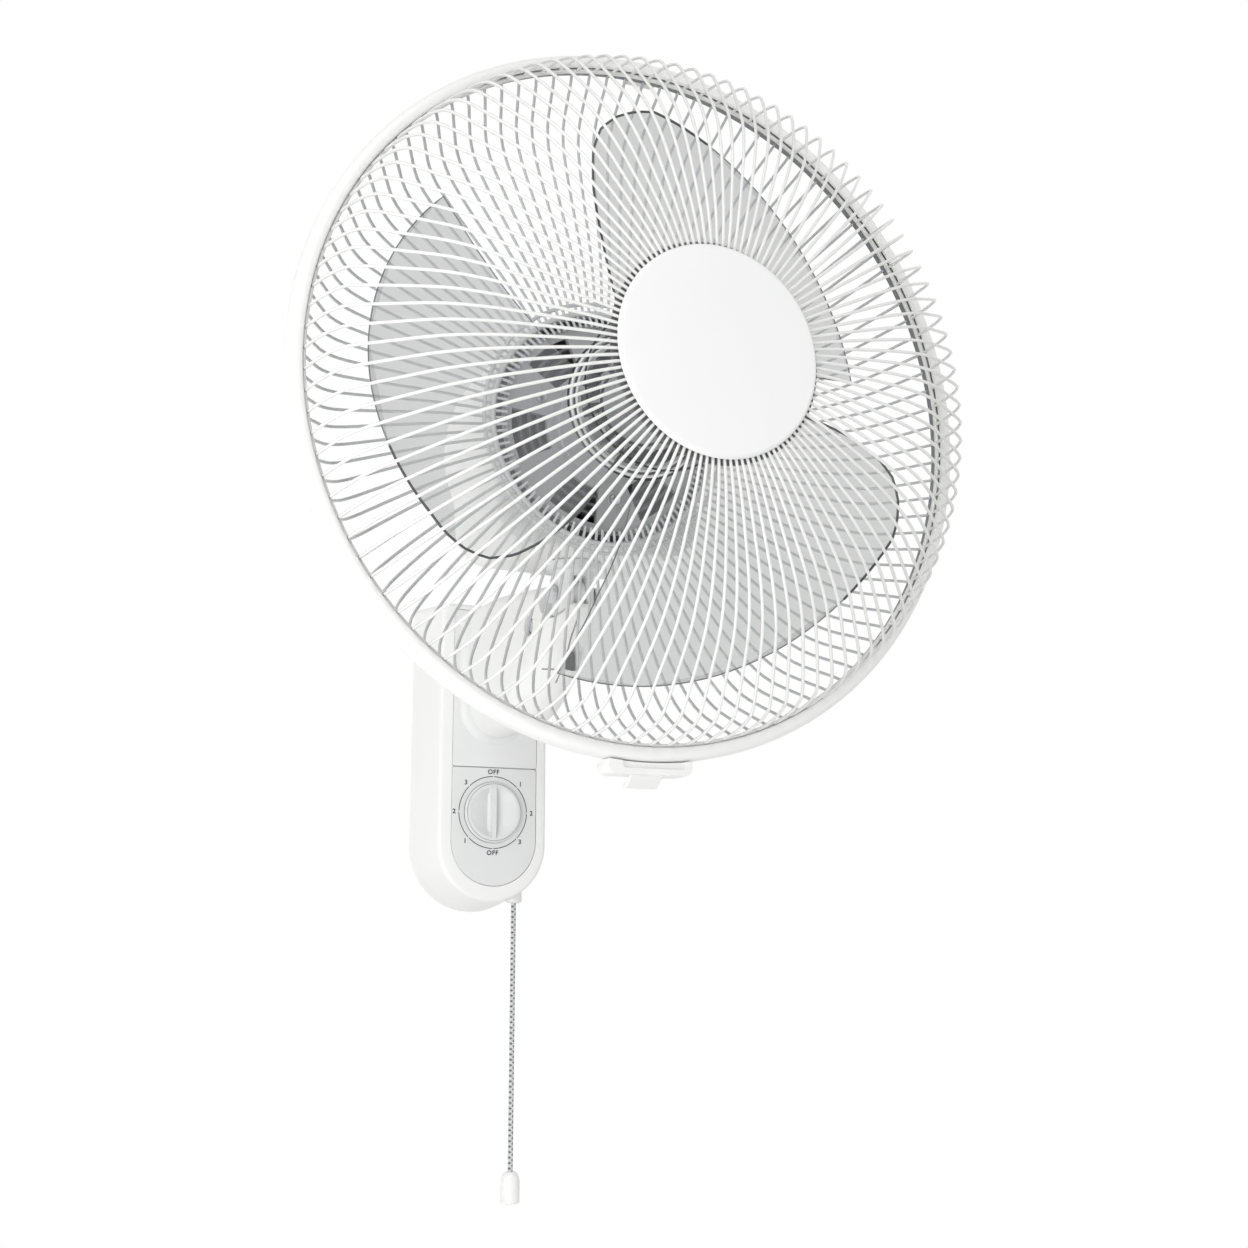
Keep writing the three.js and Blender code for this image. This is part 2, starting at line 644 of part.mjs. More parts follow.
cover = cover.subtract(turnFan(domeProfile(coverWall + 2.6, ledgeY + 2), 64));
cover = cover.subtract(slabY(skirt(coverWall), skirtFrontY + coverWall, skirtBackY - coverWall, 8));
cover = cover.subtract(holeZ(0, panAxisY, spindleRadius + runGap, coverFloorZ - 1, floorTopZ + 1));
const clutchX = 20;
const clutchY = panAxisY + stubReach;
const clutchRod = 2.5;
cover = cover.subtract(holeZ(clutchX, clutchY, clutchRod + runGap, fanAxisZ + 20, fanAxisZ + 90));
addNode('motor_cover', cover, whitePlastic);

const bearingRadius = 8;
const shaftR = 4;
const plateBackY = motorPlateY + 3;
let plate = turnFan([[0, motorPlateY], [motorPlateRadius - 1, motorPlateY],
  [motorPlateRadius, motorPlateY + 1], [motorPlateRadius, plateBackY], [0, plateBackY]], 28);
plate = plate.add(turnFan([[0, motorPlateY - 2], [14, motorPlateY - 2], [16, motorPlateY + 1],
  [0, motorPlateY + 1]], 24));
plate = plate.subtract(holeY(0, fanAxisZ, bearingRadius + gap, motorPlateY - 5, plateBackY + 1));
const ventCount = 6;
const ventPhase = 0.17;
const ventSpan = 0.27;
const ventInner = 33;
const ventOuter = motorPlateRadius - 9;
for (let i = 0; i < ventCount; i += 1) {
  const middle = (i / ventCount) * Math.PI * 2 + ventPhase;
  const vent = new THREE.Shape();
  vent.absarc(0, fanAxisZ, ventOuter, middle - ventSpan, middle + ventSpan, false);
  vent.absarc(0, fanAxisZ, ventInner, middle + ventSpan, middle - ventSpan, true);
  vent.closePath();
  plate = plate.subtract(slabY(vent, motorPlateY - 1, plateBackY + 1, 3));
}
addNode('motor_plate', plate, platePaint);

const bellFrontY = plateBackY + gap;
const bellBackY = bellFrontY + 31;
const bellRadius = 49;
const bellWall = 2.7;
let bell = turnFan([[0, bellBackY], [bellRadius - 4, bellBackY], [bellRadius, bellBackY - 4],
  [bellRadius, bellFrontY], [bellRadius - bellWall, bellFrontY],
  [bellRadius - bellWall, bellBackY - bellWall], [0, bellBackY - bellWall]], 24);
bell = bell.subtract(holeY(0, fanAxisZ, bearingRadius + gap, bellBackY - 10, bellBackY + 1));
addNode('motor_bell', bell, steel);

const statorOuter = bellRadius - bellWall - gap;
const statorInner = 30;
const statorFrontY = bellFrontY + 4;
const statorBackY = bellBackY - bellWall - 3;
const stator = turnFan([[statorInner, statorFrontY], [statorOuter, statorFrontY],
  [statorOuter, statorBackY], [statorInner, statorBackY]], 24);
addNode('stator', stator, bronze);

function bushAt(front, back, flangeFront) {
  let made = rodY(0, fanAxisZ, bearingRadius, front, back);
  made = made.add(rodY(0, fanAxisZ, bearingRadius + 3, flangeFront, flangeFront + 1.6));
  return made.subtract(holeY(0, fanAxisZ, shaftR + runGap, front - 4, back + 4));
}
const frontFlangeY = motorPlateY - 2 - gap - 1.6;
addNode('front_bush', bushAt(frontFlangeY + 0.5, plateBackY - 0.5, frontFlangeY), bronze);
const rearFlangeY = bellBackY + gap;
addNode('rear_bush', bushAt(bellBackY - bellWall, rearFlangeY + 1, rearFlangeY), bronze);

const frameFrontY = rearFlangeY + 1.6 + gap;
const wheelCentreX = clutchX;
const wheelCentreY = clutchY;
const wormRadius = 5;
const wheelRadius = wheelCentreX - wormRadius - gap;
const wheelHalf = 3;
const shelfZ = fanAxisZ + wheelHalf + 4;
const lowShelfZ = fanAxisZ - 44;
const frameBackY = frameFrontY + 2;
let gearFrame = box(-20, 38, frameFrontY, frameBackY, lowShelfZ, shelfZ + 3);
for (const z of [lowShelfZ, shelfZ]) {
  const shelf = box(wheelCentreX - 8, wheelCentreX + 8, frameBackY - 0.5, wheelCentreY + 7, z, z + 3);
  gearFrame = gearFrame.add(shelf);
}
const wheelShaft = 2.5;
const shaftBore = holeZ(wheelCentreX, wheelCentreY, wheelShaft + runGap, lowShelfZ - 1, shelfZ + 4);
gearFrame = gearFrame.subtract(shaftBore);
gearFrame = gearFrame.subtract(holeY(0, fanAxisZ, shaftR + 1, frameFrontY - 1, frameBackY + 1));
addNode('gear_frame', gearFrame, steel);

// ---- swing gear ----
const linkThick = 2;
const linkLow = stubTop + gap;
const crankReach = 8;
const discLow = linkLow + linkThick + gap;
let crank = rodZ(wheelCentreX, wheelCentreY, wheelShaft, discLow, shelfZ + 2.5);
crank = crank.add(rodZ(wheelCentreX, wheelCentreY, 11, discLow, discLow + 3, 16));
crank = crank.add(rodZ(wheelCentreX, wheelCentreY - crankReach, wheelShaft, linkLow, discLow + 1));
let wheel = rodZ(wheelCentreX, wheelCentreY, wheelRadius, fanAxisZ - wheelHalf, fanAxisZ + wheelHalf, 28);
crank = crank.add(wheel);
addNode('crank_gear', crank, bronze);

let link = slabZ(capsule(wheelCentreX, wheelCentreY - crankReach, 0, stubY, 4.5),
  linkLow, linkLow + linkThick, 4);
link = link.subtract(holeZ(wheelCentreX, wheelCentreY - crankReach, wheelShaft + runGap, 90, 120));
link = link.subtract(holeZ(0, stubY, wheelShaft + runGap, 90, 120));
addNode('drive_link', link, steel);

const clutchRise = Math.sqrt(coverRadius ** 2 - clutchX ** 2);
const clutchSeat = fanAxisZ + clutchRise + gap;
let clutch = rodZ(clutchX, clutchY, clutchRod, shelfZ + 3 + gap, clutchSeat + 6);
clutch = clutch.add(turnUp([[0, clutchSeat + 3], [6, clutchSeat + 3], [7.5, clutchSeat + 5],
  [7.5, clutchSeat + 12], [6.5, clutchSeat + 14], [0, clutchSeat + 14]], clutchX, clutchY, 16));
addNode('clutch_knob', clutch, whitePlastic);

// ---- rotor ----
const hubFrontY = guardPlaneY - 16.5;
const hubRearY = guardPlaneY + 14;
const hubFrontRadius = 42;
const hubRearRadius = 38;
const hubWall = 2.2;
const spinFrontY = hubFrontY - 12;
const wormBackY = wheelCentreY + 8;
let motorShaft = rodY(0, fanAxisZ, shaftR, spinFrontY + 5, wormBackY);
motorShaft = motorShaft.add(rodY(0, fanAxisZ, wormRadius, wheelCentreY - 8, wormBackY, 24));
addNode('motor_shaft', motorShaft, steel);

const core = turnFan([[shaftR + 0.15, statorFrontY + 1], [statorInner - 0.6, statorFrontY + 1],
  [statorInner - 0.6, statorBackY - 1], [shaftR + 0.15, statorBackY - 1]], 28);
addNode('rotor_core', core, steel);

// blade edges: angle from +X toward +Z and distance along Y from the rim plane
const leadAngle = [[38, 31], [70, 25], [100, 20], [130, 16.4], [145, 15]];
const trailAngle = [
  [38, 119], [53, 118], [82, 116], [105, 113], [124, 109.5], [135, 106.5], [142, 101], [145, 95]];
const leadDepth = [[38, 20.6], [70, 20.6], [100, 24.7], [145, 28.9]];
const trailDepth = [[38, -11.5], [53, -12.4], [82, -20.6], [105, -22.3], [145, -23]];
const camber = 8;
const bladeRows = [38.3, 64, 96, 124, 136, 142.5, 145];
const bladeColumns = 7;
const measuredTip = 145;
function bladeSpot(row, t, lift) {
  const near = row;
  const radius = row > 39 ? (row - 38.3) * ((bladeRadius - 38.3) / (measuredTip - 38.3)) + 38.3 : row;
  const lead = between(leadAngle, near);
  const trail = between(trailAngle, near);
  const angle = THREE.MathUtils.degToRad(lead + (trail - lead) * t);
  const deep = between(leadDepth, near);
  const shallow = between(trailDepth, near);
  const dy = deep + (shallow - deep) * t + camber * Math.sin(Math.PI * t) + lift;
  return [radius * Math.cos(angle), guardPlaneY + dy, fanAxisZ + radius * Math.sin(angle)];
}
function bladeRing(row) {
  const ring = [];
  for (let i = 0; i <= bladeColumns; i += 1) {
    ring.push(bladeSpot(row, i / bladeColumns, bladeThickness / 2));
  }
  for (let i = bladeColumns; i >= 0; i -= 1) {
    ring.push(bladeSpot(row, i / bladeColumns, -bladeThickness / 2));
  }
  return ring;
}
let fan = turnFan([[0, hubFrontY], [hubFrontRadius - 3, hubFrontY], [hubFrontRadius, hubFrontY + 3],
  [hubRearRadius + 1, hubRearY], [hubRearRadius + 1 - hubWall, hubRearY],
  [hubFrontRadius - hubWall, hubFrontY + 3.4], [hubFrontRadius - 4, hubFrontY + hubWall],
  [9, hubFrontY + hubWall], [9, hubRearY - 3], [0, hubRearY - 3]], 28);
for (let i = 0; i < bladeCount; i += 1) {
  const angle = (i / bladeCount) * Math.PI * 2;
  const rings = bladeRows.map((row) => bladeRing(row).map(([x, y, z]) => {
    const up = z - fanAxisZ;
    const cos = Math.cos(angle);
    const sin = Math.sin(angle);
    return [x * cos - up * sin, y, fanAxisZ + x * sin + up * cos];
  }));
  fan = fan.add(loft(rings));
}
fan = fan.subtract(holeY(0, fanAxisZ, shaftR + 0.15, hubFrontY - 5, hubRearY + 5));
addNode('fan_blade', fan, bladePlastic);

const spinBackY = hubFrontY - gap;
let spinner = turnFan([[0, spinBackY], [13, spinBackY], [13, spinBackY - 5], [10, spinFrontY + 1],
  [8, spinFrontY], [0, spinFrontY]], 32);
spinner = spinner.subtract(holeY(0, fanAxisZ, shaftR + 0.15, spinFrontY + 4.8, spinBackY + 1));
addNode('spinner_nut', spinner, greyPlastic);

// ---- guards ----
const rearHoopRadius = coverRadius - 1.6;
const frontLine = [[capRadius - 12.3, -74.4], [rimRadius - 87.5, -70.5], [rimRadius - 44.5, -55],
  [rimRadius - 15, -28], [rimRadius - 8, 1.9]];
const rearLine = [[rearHoopRadius, 55.6], [rimRadius - 38.5, 41.5], [rimRadius - 5.7, 5.7]];
const rimY = guardPlaneY + 3.4;
const rearSwirl = 5;
function guardWires(line, radius, swirl) {
  const wires = [];
  const reach = line[line.length - 1][0] - line[0][0];
  for (let i = 0; i < wireCount; i += 1) {
    const start = (i / wireCount) * Math.PI * 2;
    const points = line.map(([r, dy]) => {
      const part = (line[line.length - 1][0] - r) / reach;
      const angle = start - THREE.MathUtils.degToRad(swirl * part);
      return [r * Math.cos(angle), guardPlaneY + dy, fanAxisZ + r * Math.sin(angle)];
    });
    wires.push(wire(points, radius, 3));
  }
  return wires;
}
function hoop(radius, dy, tube) {
  const profile = [];
  for (let i = 0; i < 4; i += 1) {
    const turn = (i / 4) * Math.PI * 2 + Math.PI / 4;
    profile.push([radius + tube * Math.cos(turn), guardPlaneY + dy + tube * Math.sin(turn)]);
  }
  return turnFan(profile, wireCount / 2);
}
const hoopTube = 1.5;
const rimTube = 1.84;
let frontGuard = joinAll(guardWires(frontLine, frontWireRadius, 0));
frontGuard = frontGuard.add(hoop(rimRadius - 7.9, 1.9, rimTube));
addNode('front_guard', frontGuard, whiteWire);

let rearGuard = joinAll(guardWires(rearLine, rearWireRadius, rearSwirl));
rearGuard = rearGuard.add(hoop(rearHoopRadius, motorPlateY - guardPlaneY - gap - gap - hoopTube, hoopTube));
const bandOut = rimRadius - 2.9;
const bandIn = rimRadius - 7.5;
rearGuard = rearGuard.add(turnFan([
  [bandIn, rimY + 0.9], [bandOut, rimY + 0.9],
  [bandOut, rimY + 4.9], [bandIn, rimY + 4.9]], wireCount / 2));
addNode('rear_guard', rearGuard, greyWire);

const rimHalf = 5.2;
const webIn = rimRadius - 2.2;
const lipIn = rimRadius - 7.3;
const lipBack = rimY - 3.4;
let rim = turnFan([
  [lipIn, lipBack - 0.4], [lipIn + 0.8, rimY - rimHalf + 0.2], [rimRadius - 4.2, rimY - rimHalf - 0.5],
  [rimRadius - 1.7, rimY - rimHalf + 0.5], [rimRadius - 0.4, rimY - rimHalf + 2.4],
  [rimRadius, rimY - 0.6], [rimRadius, rimY + rimHalf - 0.8], [rimRadius - 0.6, rimY + rimHalf],
  [webIn, rimY + rimHalf], [webIn, lipBack], [lipIn, lipBack]], wireCount / 2);
const pinY = rimY + rimHalf + 2.3;
const pinZ = fanAxisZ + rimRadius - 2;
let lug = box(-4, 4, pinY - 2.6, pinY, pinZ - 0.6, pinZ + 1.9);
lug = lug.add(rodX(pinY, pinZ, 1.9, -4, 4, 8));
rim = rim.add(lug);
rim = rim.subtract(holeX(pinY, pinZ, 1.1, -10, 10, 6));
addNode('front_rim', rim, whitePlastic);

const cheekFoot = fanAxisZ + bandIn + 0.5;
let hook = box(-8, 8, rimY + 4.9 + gap, pinY + 1.9, cheekFoot, pinZ - 2.6);
for (const side of [-1, 1]) {
  const low = side > 0 ? 4.3 : -8;
  hook = hook.add(slabX(capsule(pinY, pinZ, pinY, pinZ - 3, 1.9), low, low + 3.7, 3));
}
hook = hook.subtract(holeX(pinY, pinZ, 1.1, -10, 10, 6));
addNode('top_hook', hook, whitePlastic);
addNode('hinge_pin', rodX(pinY, pinZ, 0.8, -8.6, 8.6, 8), steel);

// snap latch under the rim, hung on the rear hoop
const latchPinZ = fanAxisZ - rimRadius + 2;
let seat = box(-9, 9, rimY + 4.9 + gap, pinY + 1.9, latchPinZ + 2.6, fanAxisZ - bandIn - 0.5);
for (const side of [-1, 1]) {
  const low = side > 0 ? 5.3 : -9;
  seat = seat.add(slabX(capsule(pinY, latchPinZ, pinY, latchPinZ + 3, 1.9), low, low + 3.7, 3));
}
seat = seat.subtract(holeX(pinY, latchPinZ, 1.1, -10, 10, 6));
addNode('latch_seat', seat, whitePlastic);
const latchTop = fanAxisZ - rimRadius - gap;
const latchLow = latchTop - 6.2;
const latchHalf = 22.5;
const latchFrontY = rimY - rimHalf + 0.6;
const latchBackY = pinY + 2.4;
const latchBody = roundedRect(-latchHalf, latchHalf, latchLow, latchTop + 4.5, 4);
const rimSeat = holeY(0, fanAxisZ, rimRadius + gap, latchFrontY - 1, latchBackY + 1, wireCount);
let latch = slabY(latchBody, latchFrontY, latchBackY, 4).subtract(rimSeat);
latch = latch.subtract(box(-15, 19, latchFrontY - 1, latchFrontY + 1.4, latchLow + 3.2, latchTop + 5));
latch = latch.subtract(box(-latchHalf - 1, latchHalf + 1, rimY + rimHalf, latchBackY + 1,
  latchTop, latchTop + 5));
const tab = new THREE.Shape();
const tabY = latchFrontY + 3.4;
const tabLow = latchLow - 5.6;
tab.moveTo(tabY, latchLow + 1);
tab.lineTo(tabY + 3.4, latchLow + 1);
tab.lineTo(tabY + 12.4, tabLow + 1);
tab.lineTo(tabY + 11.4, tabLow);
tab.lineTo(tabY + 8.6, tabLow);
tab.closePath();
latch = latch.add(slabX(tab, -8.7, 8.7));
latch = latch.add(box(-5, 5, pinY - 1.9, pinY + 1.9, latchTop - 1, latchPinZ));
latch = latch.add(rodX(pinY, latchPinZ, 1.9, -5, 5, 8));
latch = latch.subtract(holeX(pinY, latchPinZ, 1.1, -10, 10, 6));
addNode('guard_latch', latch, whitePlastic);
addNode('latch_pin', rodX(pinY, latchPinZ, 0.8, -9.6, 9.6, 8), steel);

// cap over the wire ends, clamped by a disc behind them
const capFrontY = guardPlaneY - 78.2;
const capEdgeY = guardPlaneY - 75.6;
const clampFront = guardPlaneY - 73.6 + frontWireRadius + gap;
const clampBoss = frontLine[0][0] - 1.5;
let cap = turnFan([
  [0, clampFront - gap], [clampBoss, clampFront - gap],
  [clampBoss, capEdgeY], [capRadius - 1, capEdgeY], [capRadius, capEdgeY - 0.8],
  [capRadius - 0.5, capFrontY + 1], [capRadius - 2, capFrontY], [0, capFrontY]], 28);
cap = cap.subtract(turnFan([
  [0, clampFront + 1], [clampBoss - 3, clampFront + 1],
  [clampBoss - 3, capFrontY + 2], [0, capFrontY + 2]], 48));
addNode('guard_cap', cap, whitePlastic);
const clamp = turnFan([[0, clampFront], [capRadius - 4, clampFront], [capRadius - 4, clampFront + 1.8],
  [0, clampFront + 1.8]], 24);
addNode('cap_clamp', clamp, greyPlastic);

export default group;
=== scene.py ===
import math
import bpy
import bmesh
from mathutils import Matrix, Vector


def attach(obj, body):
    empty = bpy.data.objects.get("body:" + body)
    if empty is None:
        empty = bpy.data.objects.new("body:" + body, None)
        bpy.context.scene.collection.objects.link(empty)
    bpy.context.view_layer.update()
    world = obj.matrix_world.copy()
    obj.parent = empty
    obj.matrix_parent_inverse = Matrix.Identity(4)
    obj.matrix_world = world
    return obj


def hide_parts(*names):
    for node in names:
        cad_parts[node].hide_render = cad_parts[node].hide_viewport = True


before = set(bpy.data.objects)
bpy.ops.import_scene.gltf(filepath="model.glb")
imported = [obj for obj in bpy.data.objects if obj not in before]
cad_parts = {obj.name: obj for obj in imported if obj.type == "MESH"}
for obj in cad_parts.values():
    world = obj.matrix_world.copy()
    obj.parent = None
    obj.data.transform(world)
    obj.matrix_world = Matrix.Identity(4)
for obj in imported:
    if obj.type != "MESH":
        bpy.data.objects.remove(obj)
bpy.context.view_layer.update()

mm = 0.001
axisZ = 160.8  # height of the blade axis, all sizes below are millimetres
rimPlaneY = -263.8  # plane of the rim, where the two guards meet
dialZ = -35.2  # height of the knob's axis
pivotY = -164.5  # the tilt bolt, and the neck's spindle above it
pivotZ = 76.7
pivotHole = 3.3
collection = bpy.context.scene.collection

# camera at the photograph's viewing angle
cameraSettings = {
    "place": (-339.7, -977.7, -103.8),
    "tilt": 100.58,
    "turn": -24.51,
    "lens": 46.73,
}
cameraData = bpy.data.cameras.new("camera")
cameraData.lens = cameraSettings["lens"]
cameraData.clip_start = 0.01
camera = bpy.data.objects.new("camera", cameraData)
camera.location = Vector(cameraSettings["place"]) * mm
camera.rotation_euler = (math.radians(cameraSettings["tilt"]), 0, math.radians(cameraSettings["turn"]))
collection.objects.link(camera)
bpy.context.scene.camera = camera
print("camera ready")


def newNode(nodes, kind, **values):
    node = nodes.new(kind)
    for name, value in values.items():
        node.inputs[name].default_value = value
    return node


# every finish gets a fine surface, a slow tone change and a bump
def makeFinish(name, settings):
    finish = bpy.data.materials.new(name)
    finish.use_nodes = True
    nodes = finish.node_tree.nodes
    links = finish.node_tree.links
    shader = nodes["Principled BSDF"]
    place = nodes.new("ShaderNodeTexCoord")
    grain = newNode(nodes, "ShaderNodeTexNoise", Scale=settings.get("grain", 900), Detail=3)
    links.new(place.outputs["Object"], grain.inputs["Vector"])
    slow = newNode(nodes, "ShaderNodeTexNoise", Scale=settings.get("slow", 18), Detail=2)
    links.new(place.outputs["Object"], slow.inputs["Vector"])
    tones = nodes.new("ShaderNodeValToRGB")
    shift = settings.get("shift", 0.01)
    for stop, position, change in zip(tones.color_ramp.elements, (0.3, 0.7), (-shift, shift)):
        stop.position = position
        stop.color = [min(max(c + change, 0), 1) for c in settings["colour"]] + [1]
    links.new(slow.outputs["Fac"], tones.inputs["Fac"])
    links.new(tones.outputs["Color"], shader.inputs["Base Color"])
    roughness = settings["roughness"]
    rough = newNode(nodes, "ShaderNodeMapRange", **{"To Min": roughness - 0.05, "To Max": roughness + 0.05})
    links.new(grain.outputs["Fac"], rough.inputs["Value"])
    links.new(rough.outputs["Result"], shader.inputs["Roughness"])
    bump = newNode(nodes, "ShaderNodeBump", Strength=settings.get("bump", 0.08), Distance=0.0002)
    links.new(grain.outputs["Fac"], bump.inputs["Height"])
    links.new(bump.outputs["Normal"], shader.inputs["Normal"])
    shader.inputs["Metallic"].default_value = settings.get("metallic", 0)
    shader.inputs["Alpha"].default_value = settings.get("alpha", 1)
    shader.inputs["Coat Weight"].default_value = settings.get("coat", 0)
    shader.inputs["Coat Roughness"].default_value = 0.12
    return finish


finishSettings = {
    "shellWhite": {"colour": (0.86, 0.86, 0.85), "roughness": 0.34, "shift": 0.008, "bump": 0.05},
    "capWhite": {
        "colour": (0.85, 0.85, 0.85), "roughness": 0.42, "shift": 0.006, "grain": 1400, "bump": 0.06},
    "stripGrey": {"colour": (0.78, 0.782, 0.785), "roughness": 0.4, "grain": 1600},
    "panelGrey": {"colour": (0.74, 0.742, 0.745), "roughness": 0.45, "grain": 1600, "bump": 0.1},
    "neckGrey": {
        "colour": (0.68, 0.685, 0.69), "roughness": 0.48, "shift": 0.015, "grain": 1200, "bump": 0.1},
    "wireWhite": {"colour": (0.80, 0.80, 0.79), "roughness": 0.3, "shift": 0.015, "slow": 60, "coat": 0.4},
    "wireGrey": {"colour": (0.58, 0.585, 0.59), "roughness": 0.34, "shift": 0.02, "slow": 60, "coat": 0.3},
    "plateGrey": {
        "colour": (0.39, 0.395, 0.4), "roughness": 0.5, "shift": 0.015, "metallic": 0.1, "bump": 0.12},
    "bladeClear": {"colour": (0.6, 0.61, 0.62), "roughness": 0.2, "alpha": 0.12, "grain": 500, "bump": 0.03},
    "bladeRim": {"colour": (0.16, 0.165, 0.17), "roughness": 0.3, "shift": 0.02, "grain": 500, "bump": 0.03},
    "steelBright": {
        "colour": (0.56, 0.57, 0.58), "roughness": 0.28, "metallic": 1, "shift": 0.03, "grain": 2200},
    "steelCan": {"colour": (0.42, 0.43, 0.44), "roughness": 0.4, "metallic": 0.9, "shift": 0.03},
    "bronzeSoft": {"colour": (0.42, 0.25, 0.11), "roughness": 0.4, "metallic": 0.9, "shift": 0.03},
    "switchBlack": {"colour": (0.03, 0.03, 0.032), "roughness": 0.55, "shift": 0.006, "bump": 0.15},
    # dark ink for the dial's print, also used for the dark lines and a painted shade band on the hub
    "inkAndShadeDark": {"colour": (0.03, 0.032, 0.035), "roughness": 0.6, "grain": 3000},
    "tailDark": {"colour": (0.07, 0.07, 0.075), "roughness": 0.25, "grain": 500, "bump": 0.03},
    # dark grey for the vent fins, the gap round the knob and the seam, also used for painted shade inside the
    # rim, in the arm's notch and well, and along the edge of the knob's face
    "finAndShadeGrey": {"colour": (0.12, 0.12, 0.125), "roughness": 0.5, "shift": 0.02},
    # dark grey for the band that the rear wires end on, also used for painted shade inside the rim's lip and
    # behind the cap
    "bandAndShadeGrey": {"colour": (0.22, 0.225, 0.23), "roughness": 0.4, "shift": 0.02},
    "hubClear": {"colour": (0.5, 0.51, 0.52), "roughness": 0.1, "shift": 0.03, "alpha": 0.07, "bump": 0.03},
    "hubGleam": {"colour": (0.93, 0.93, 0.93), "roughness": 0.15, "coat": 0.6},
    # dark metal of the motor can, also used for a painted shade band at the rim of the motor plate
    "canAndShadeDark": {"colour": (0.09, 0.09, 0.095), "roughness": 0.5, "metallic": 0.4, "shift": 0.02},
    "bushWhite": {"colour": (0.8, 0.8, 0.79), "roughness": 0.45},
}
finishes = {name: makeFinish(name, settings) for name, settings in finishSettings.items()}


def linkedMath(nodes, links, operation, first, second):
    node = nodes.new("ShaderNodeMath")
    node.operation = operation
    links.new(first, node.inputs[0])
    links.new(second, node.inputs[1])
    return node.outputs["Value"]


# the cord's braid: two crossing sets of fine bands
def makeBraid(name, colour, pitch):
    finish = makeFinish(name, {"colour": colour, "roughness": 0.85, "shift": 0.05, "slow": 700})
    nodes = finish.node_tree.nodes
    links = finish.node_tree.links
    place = nodes["Texture Coordinate"]
    heights = []
    for lean in (0.7, -0.7):
        turn = newNode(nodes, "ShaderNodeMapping", Rotation=(0, lean, lean))
        links.new(place.outputs["Object"], turn.inputs["Vector"])
        band = newNode(nodes, "ShaderNodeTexWave", Scale=pitch)
        band.bands_direction = "Z"
        links.new(turn.outputs["Vector"], band.inputs["Vector"])
        heights.append(band.outputs["Fac"])
    cross = linkedMath(nodes, links, "MAXIMUM", *heights)
    bump = nodes["Bump"]
    bump.inputs["Strength"].default_value = 0.7
    bump.inputs["Distance"].default_value = 0.0004
    links.new(cross, bump.inputs["Height"])
    # the colour is darkened in the grooves between the strands and lifted on their tops: painted shade and
    # painted highlight
    grooveShade = newNode(nodes, "ShaderNodeMapRange", **{"To Min": 0.12, "To Max": 1.15})
    links.new(cross, grooveShade.inputs["Value"])
    shade = nodes.new("ShaderNodeMix")
    shade.data_type = "RGBA"
    shade.blend_type = "MULTIPLY"
    shade.inputs["Factor"].default_value = 1
    baseColour = nodes["Principled BSDF"].inputs["Base Color"]
    links.new(baseColour.links[0].from_socket, shade.inputs["A"])
    links.new(grooveShade.outputs["Result"], shade.inputs["B"])
    links.new(shade.outputs["Result"], baseColour)
    return finish


finishes["cordBraid"] = makeBraid("cordBraid", (0.56, 0.57, 0.58), 130)
print("finishes ready")


# a piece gets its finish and the body that it rides on
def dress(piece, body, finishName):
    piece.data.materials.clear()
    piece.data.materials.append(finishes[finishName])
    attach(piece, body)


def meshPiece(name, points, faces, sharp=32):
    mesh = bpy.data.meshes.new(name)
    mesh.from_pydata([Vector(p) * mm for p in points], [], faces)
    work = bmesh.new()
    work.from_mesh(mesh)
    bmesh.ops.remove_doubles(work, verts=work.verts, dist=1e-6)
    bmesh.ops.recalc_face_normals(work, faces=work.faces)
    work.to_mesh(mesh)
    work.free()
    mesh.shade_smooth()
    mesh.set_sharp_from_angle(angle=math.radians(sharp))
    piece = bpy.data.objects.new(name, mesh)
    collection.objects.link(piece)
    return piece


# rings of points joined into a skin, with closed ends unless capEnds is off
def loftPiece(name, rings, capEnds=True, sharp=32):
    points = [p for ring in rings for p in ring]
    count = len(rings[0])
    faces = []
    for i in range(len(rings) - 1):
        for j in range(count):
            a = i * count + j
            b = i * count + (j + 1) % count
            faces.append((a, b, b + count, a + count))
    if capEnds:
        faces.append(tuple(range(count)))
        faces.append(tuple(range((len(rings) - 1) * count, len(rings) * count)))
    return meshPiece(name, points, faces, sharp)


# a profile of (radius, place along the axis) turned round a line along y or z
def turnedPiece(name, profile, along, centre, steps=96, sharp=32):
    rings = []
    for step in range(steps):
        turn = math.tau * step / steps
        ring = []
        for radius, place in profile:
            u = radius * math.cos(turn)
            v = radius * math.sin(turn)
            if along == "y":
                ring.append((centre[0] + u, place, centre[1] + v))
            else:
                ring.append((centre[0] + u, centre[1] + v, place))
        rings.append(ring)
    points = [p for ring in rings for p in ring]
    count = len(profile)
    faces = []
    for i in range(steps):
        for j in range(count - 1):
            a = i * count + j
            b = ((i + 1) % steps) * count + j
            faces.append((a, b, b + 1, a + 1))
        if profile[0][0] > 1e-6:
            a = i * count + count - 1
            b = ((i + 1) % steps) * count + count - 1
            faces.append((a, b, ((i + 1) % steps) * count, i * count))
    return meshPiece(name, points, faces, sharp)


def softEdge(piece, width, segments=3, angle=35):
    bevel = piece.modifiers.new("softEdge", "BEVEL")
    bevel.width = width * mm
    bevel.segments = segments
    bevel.limit_method = "ANGLE"
    bevel.angle_limit = math.radians(angle)


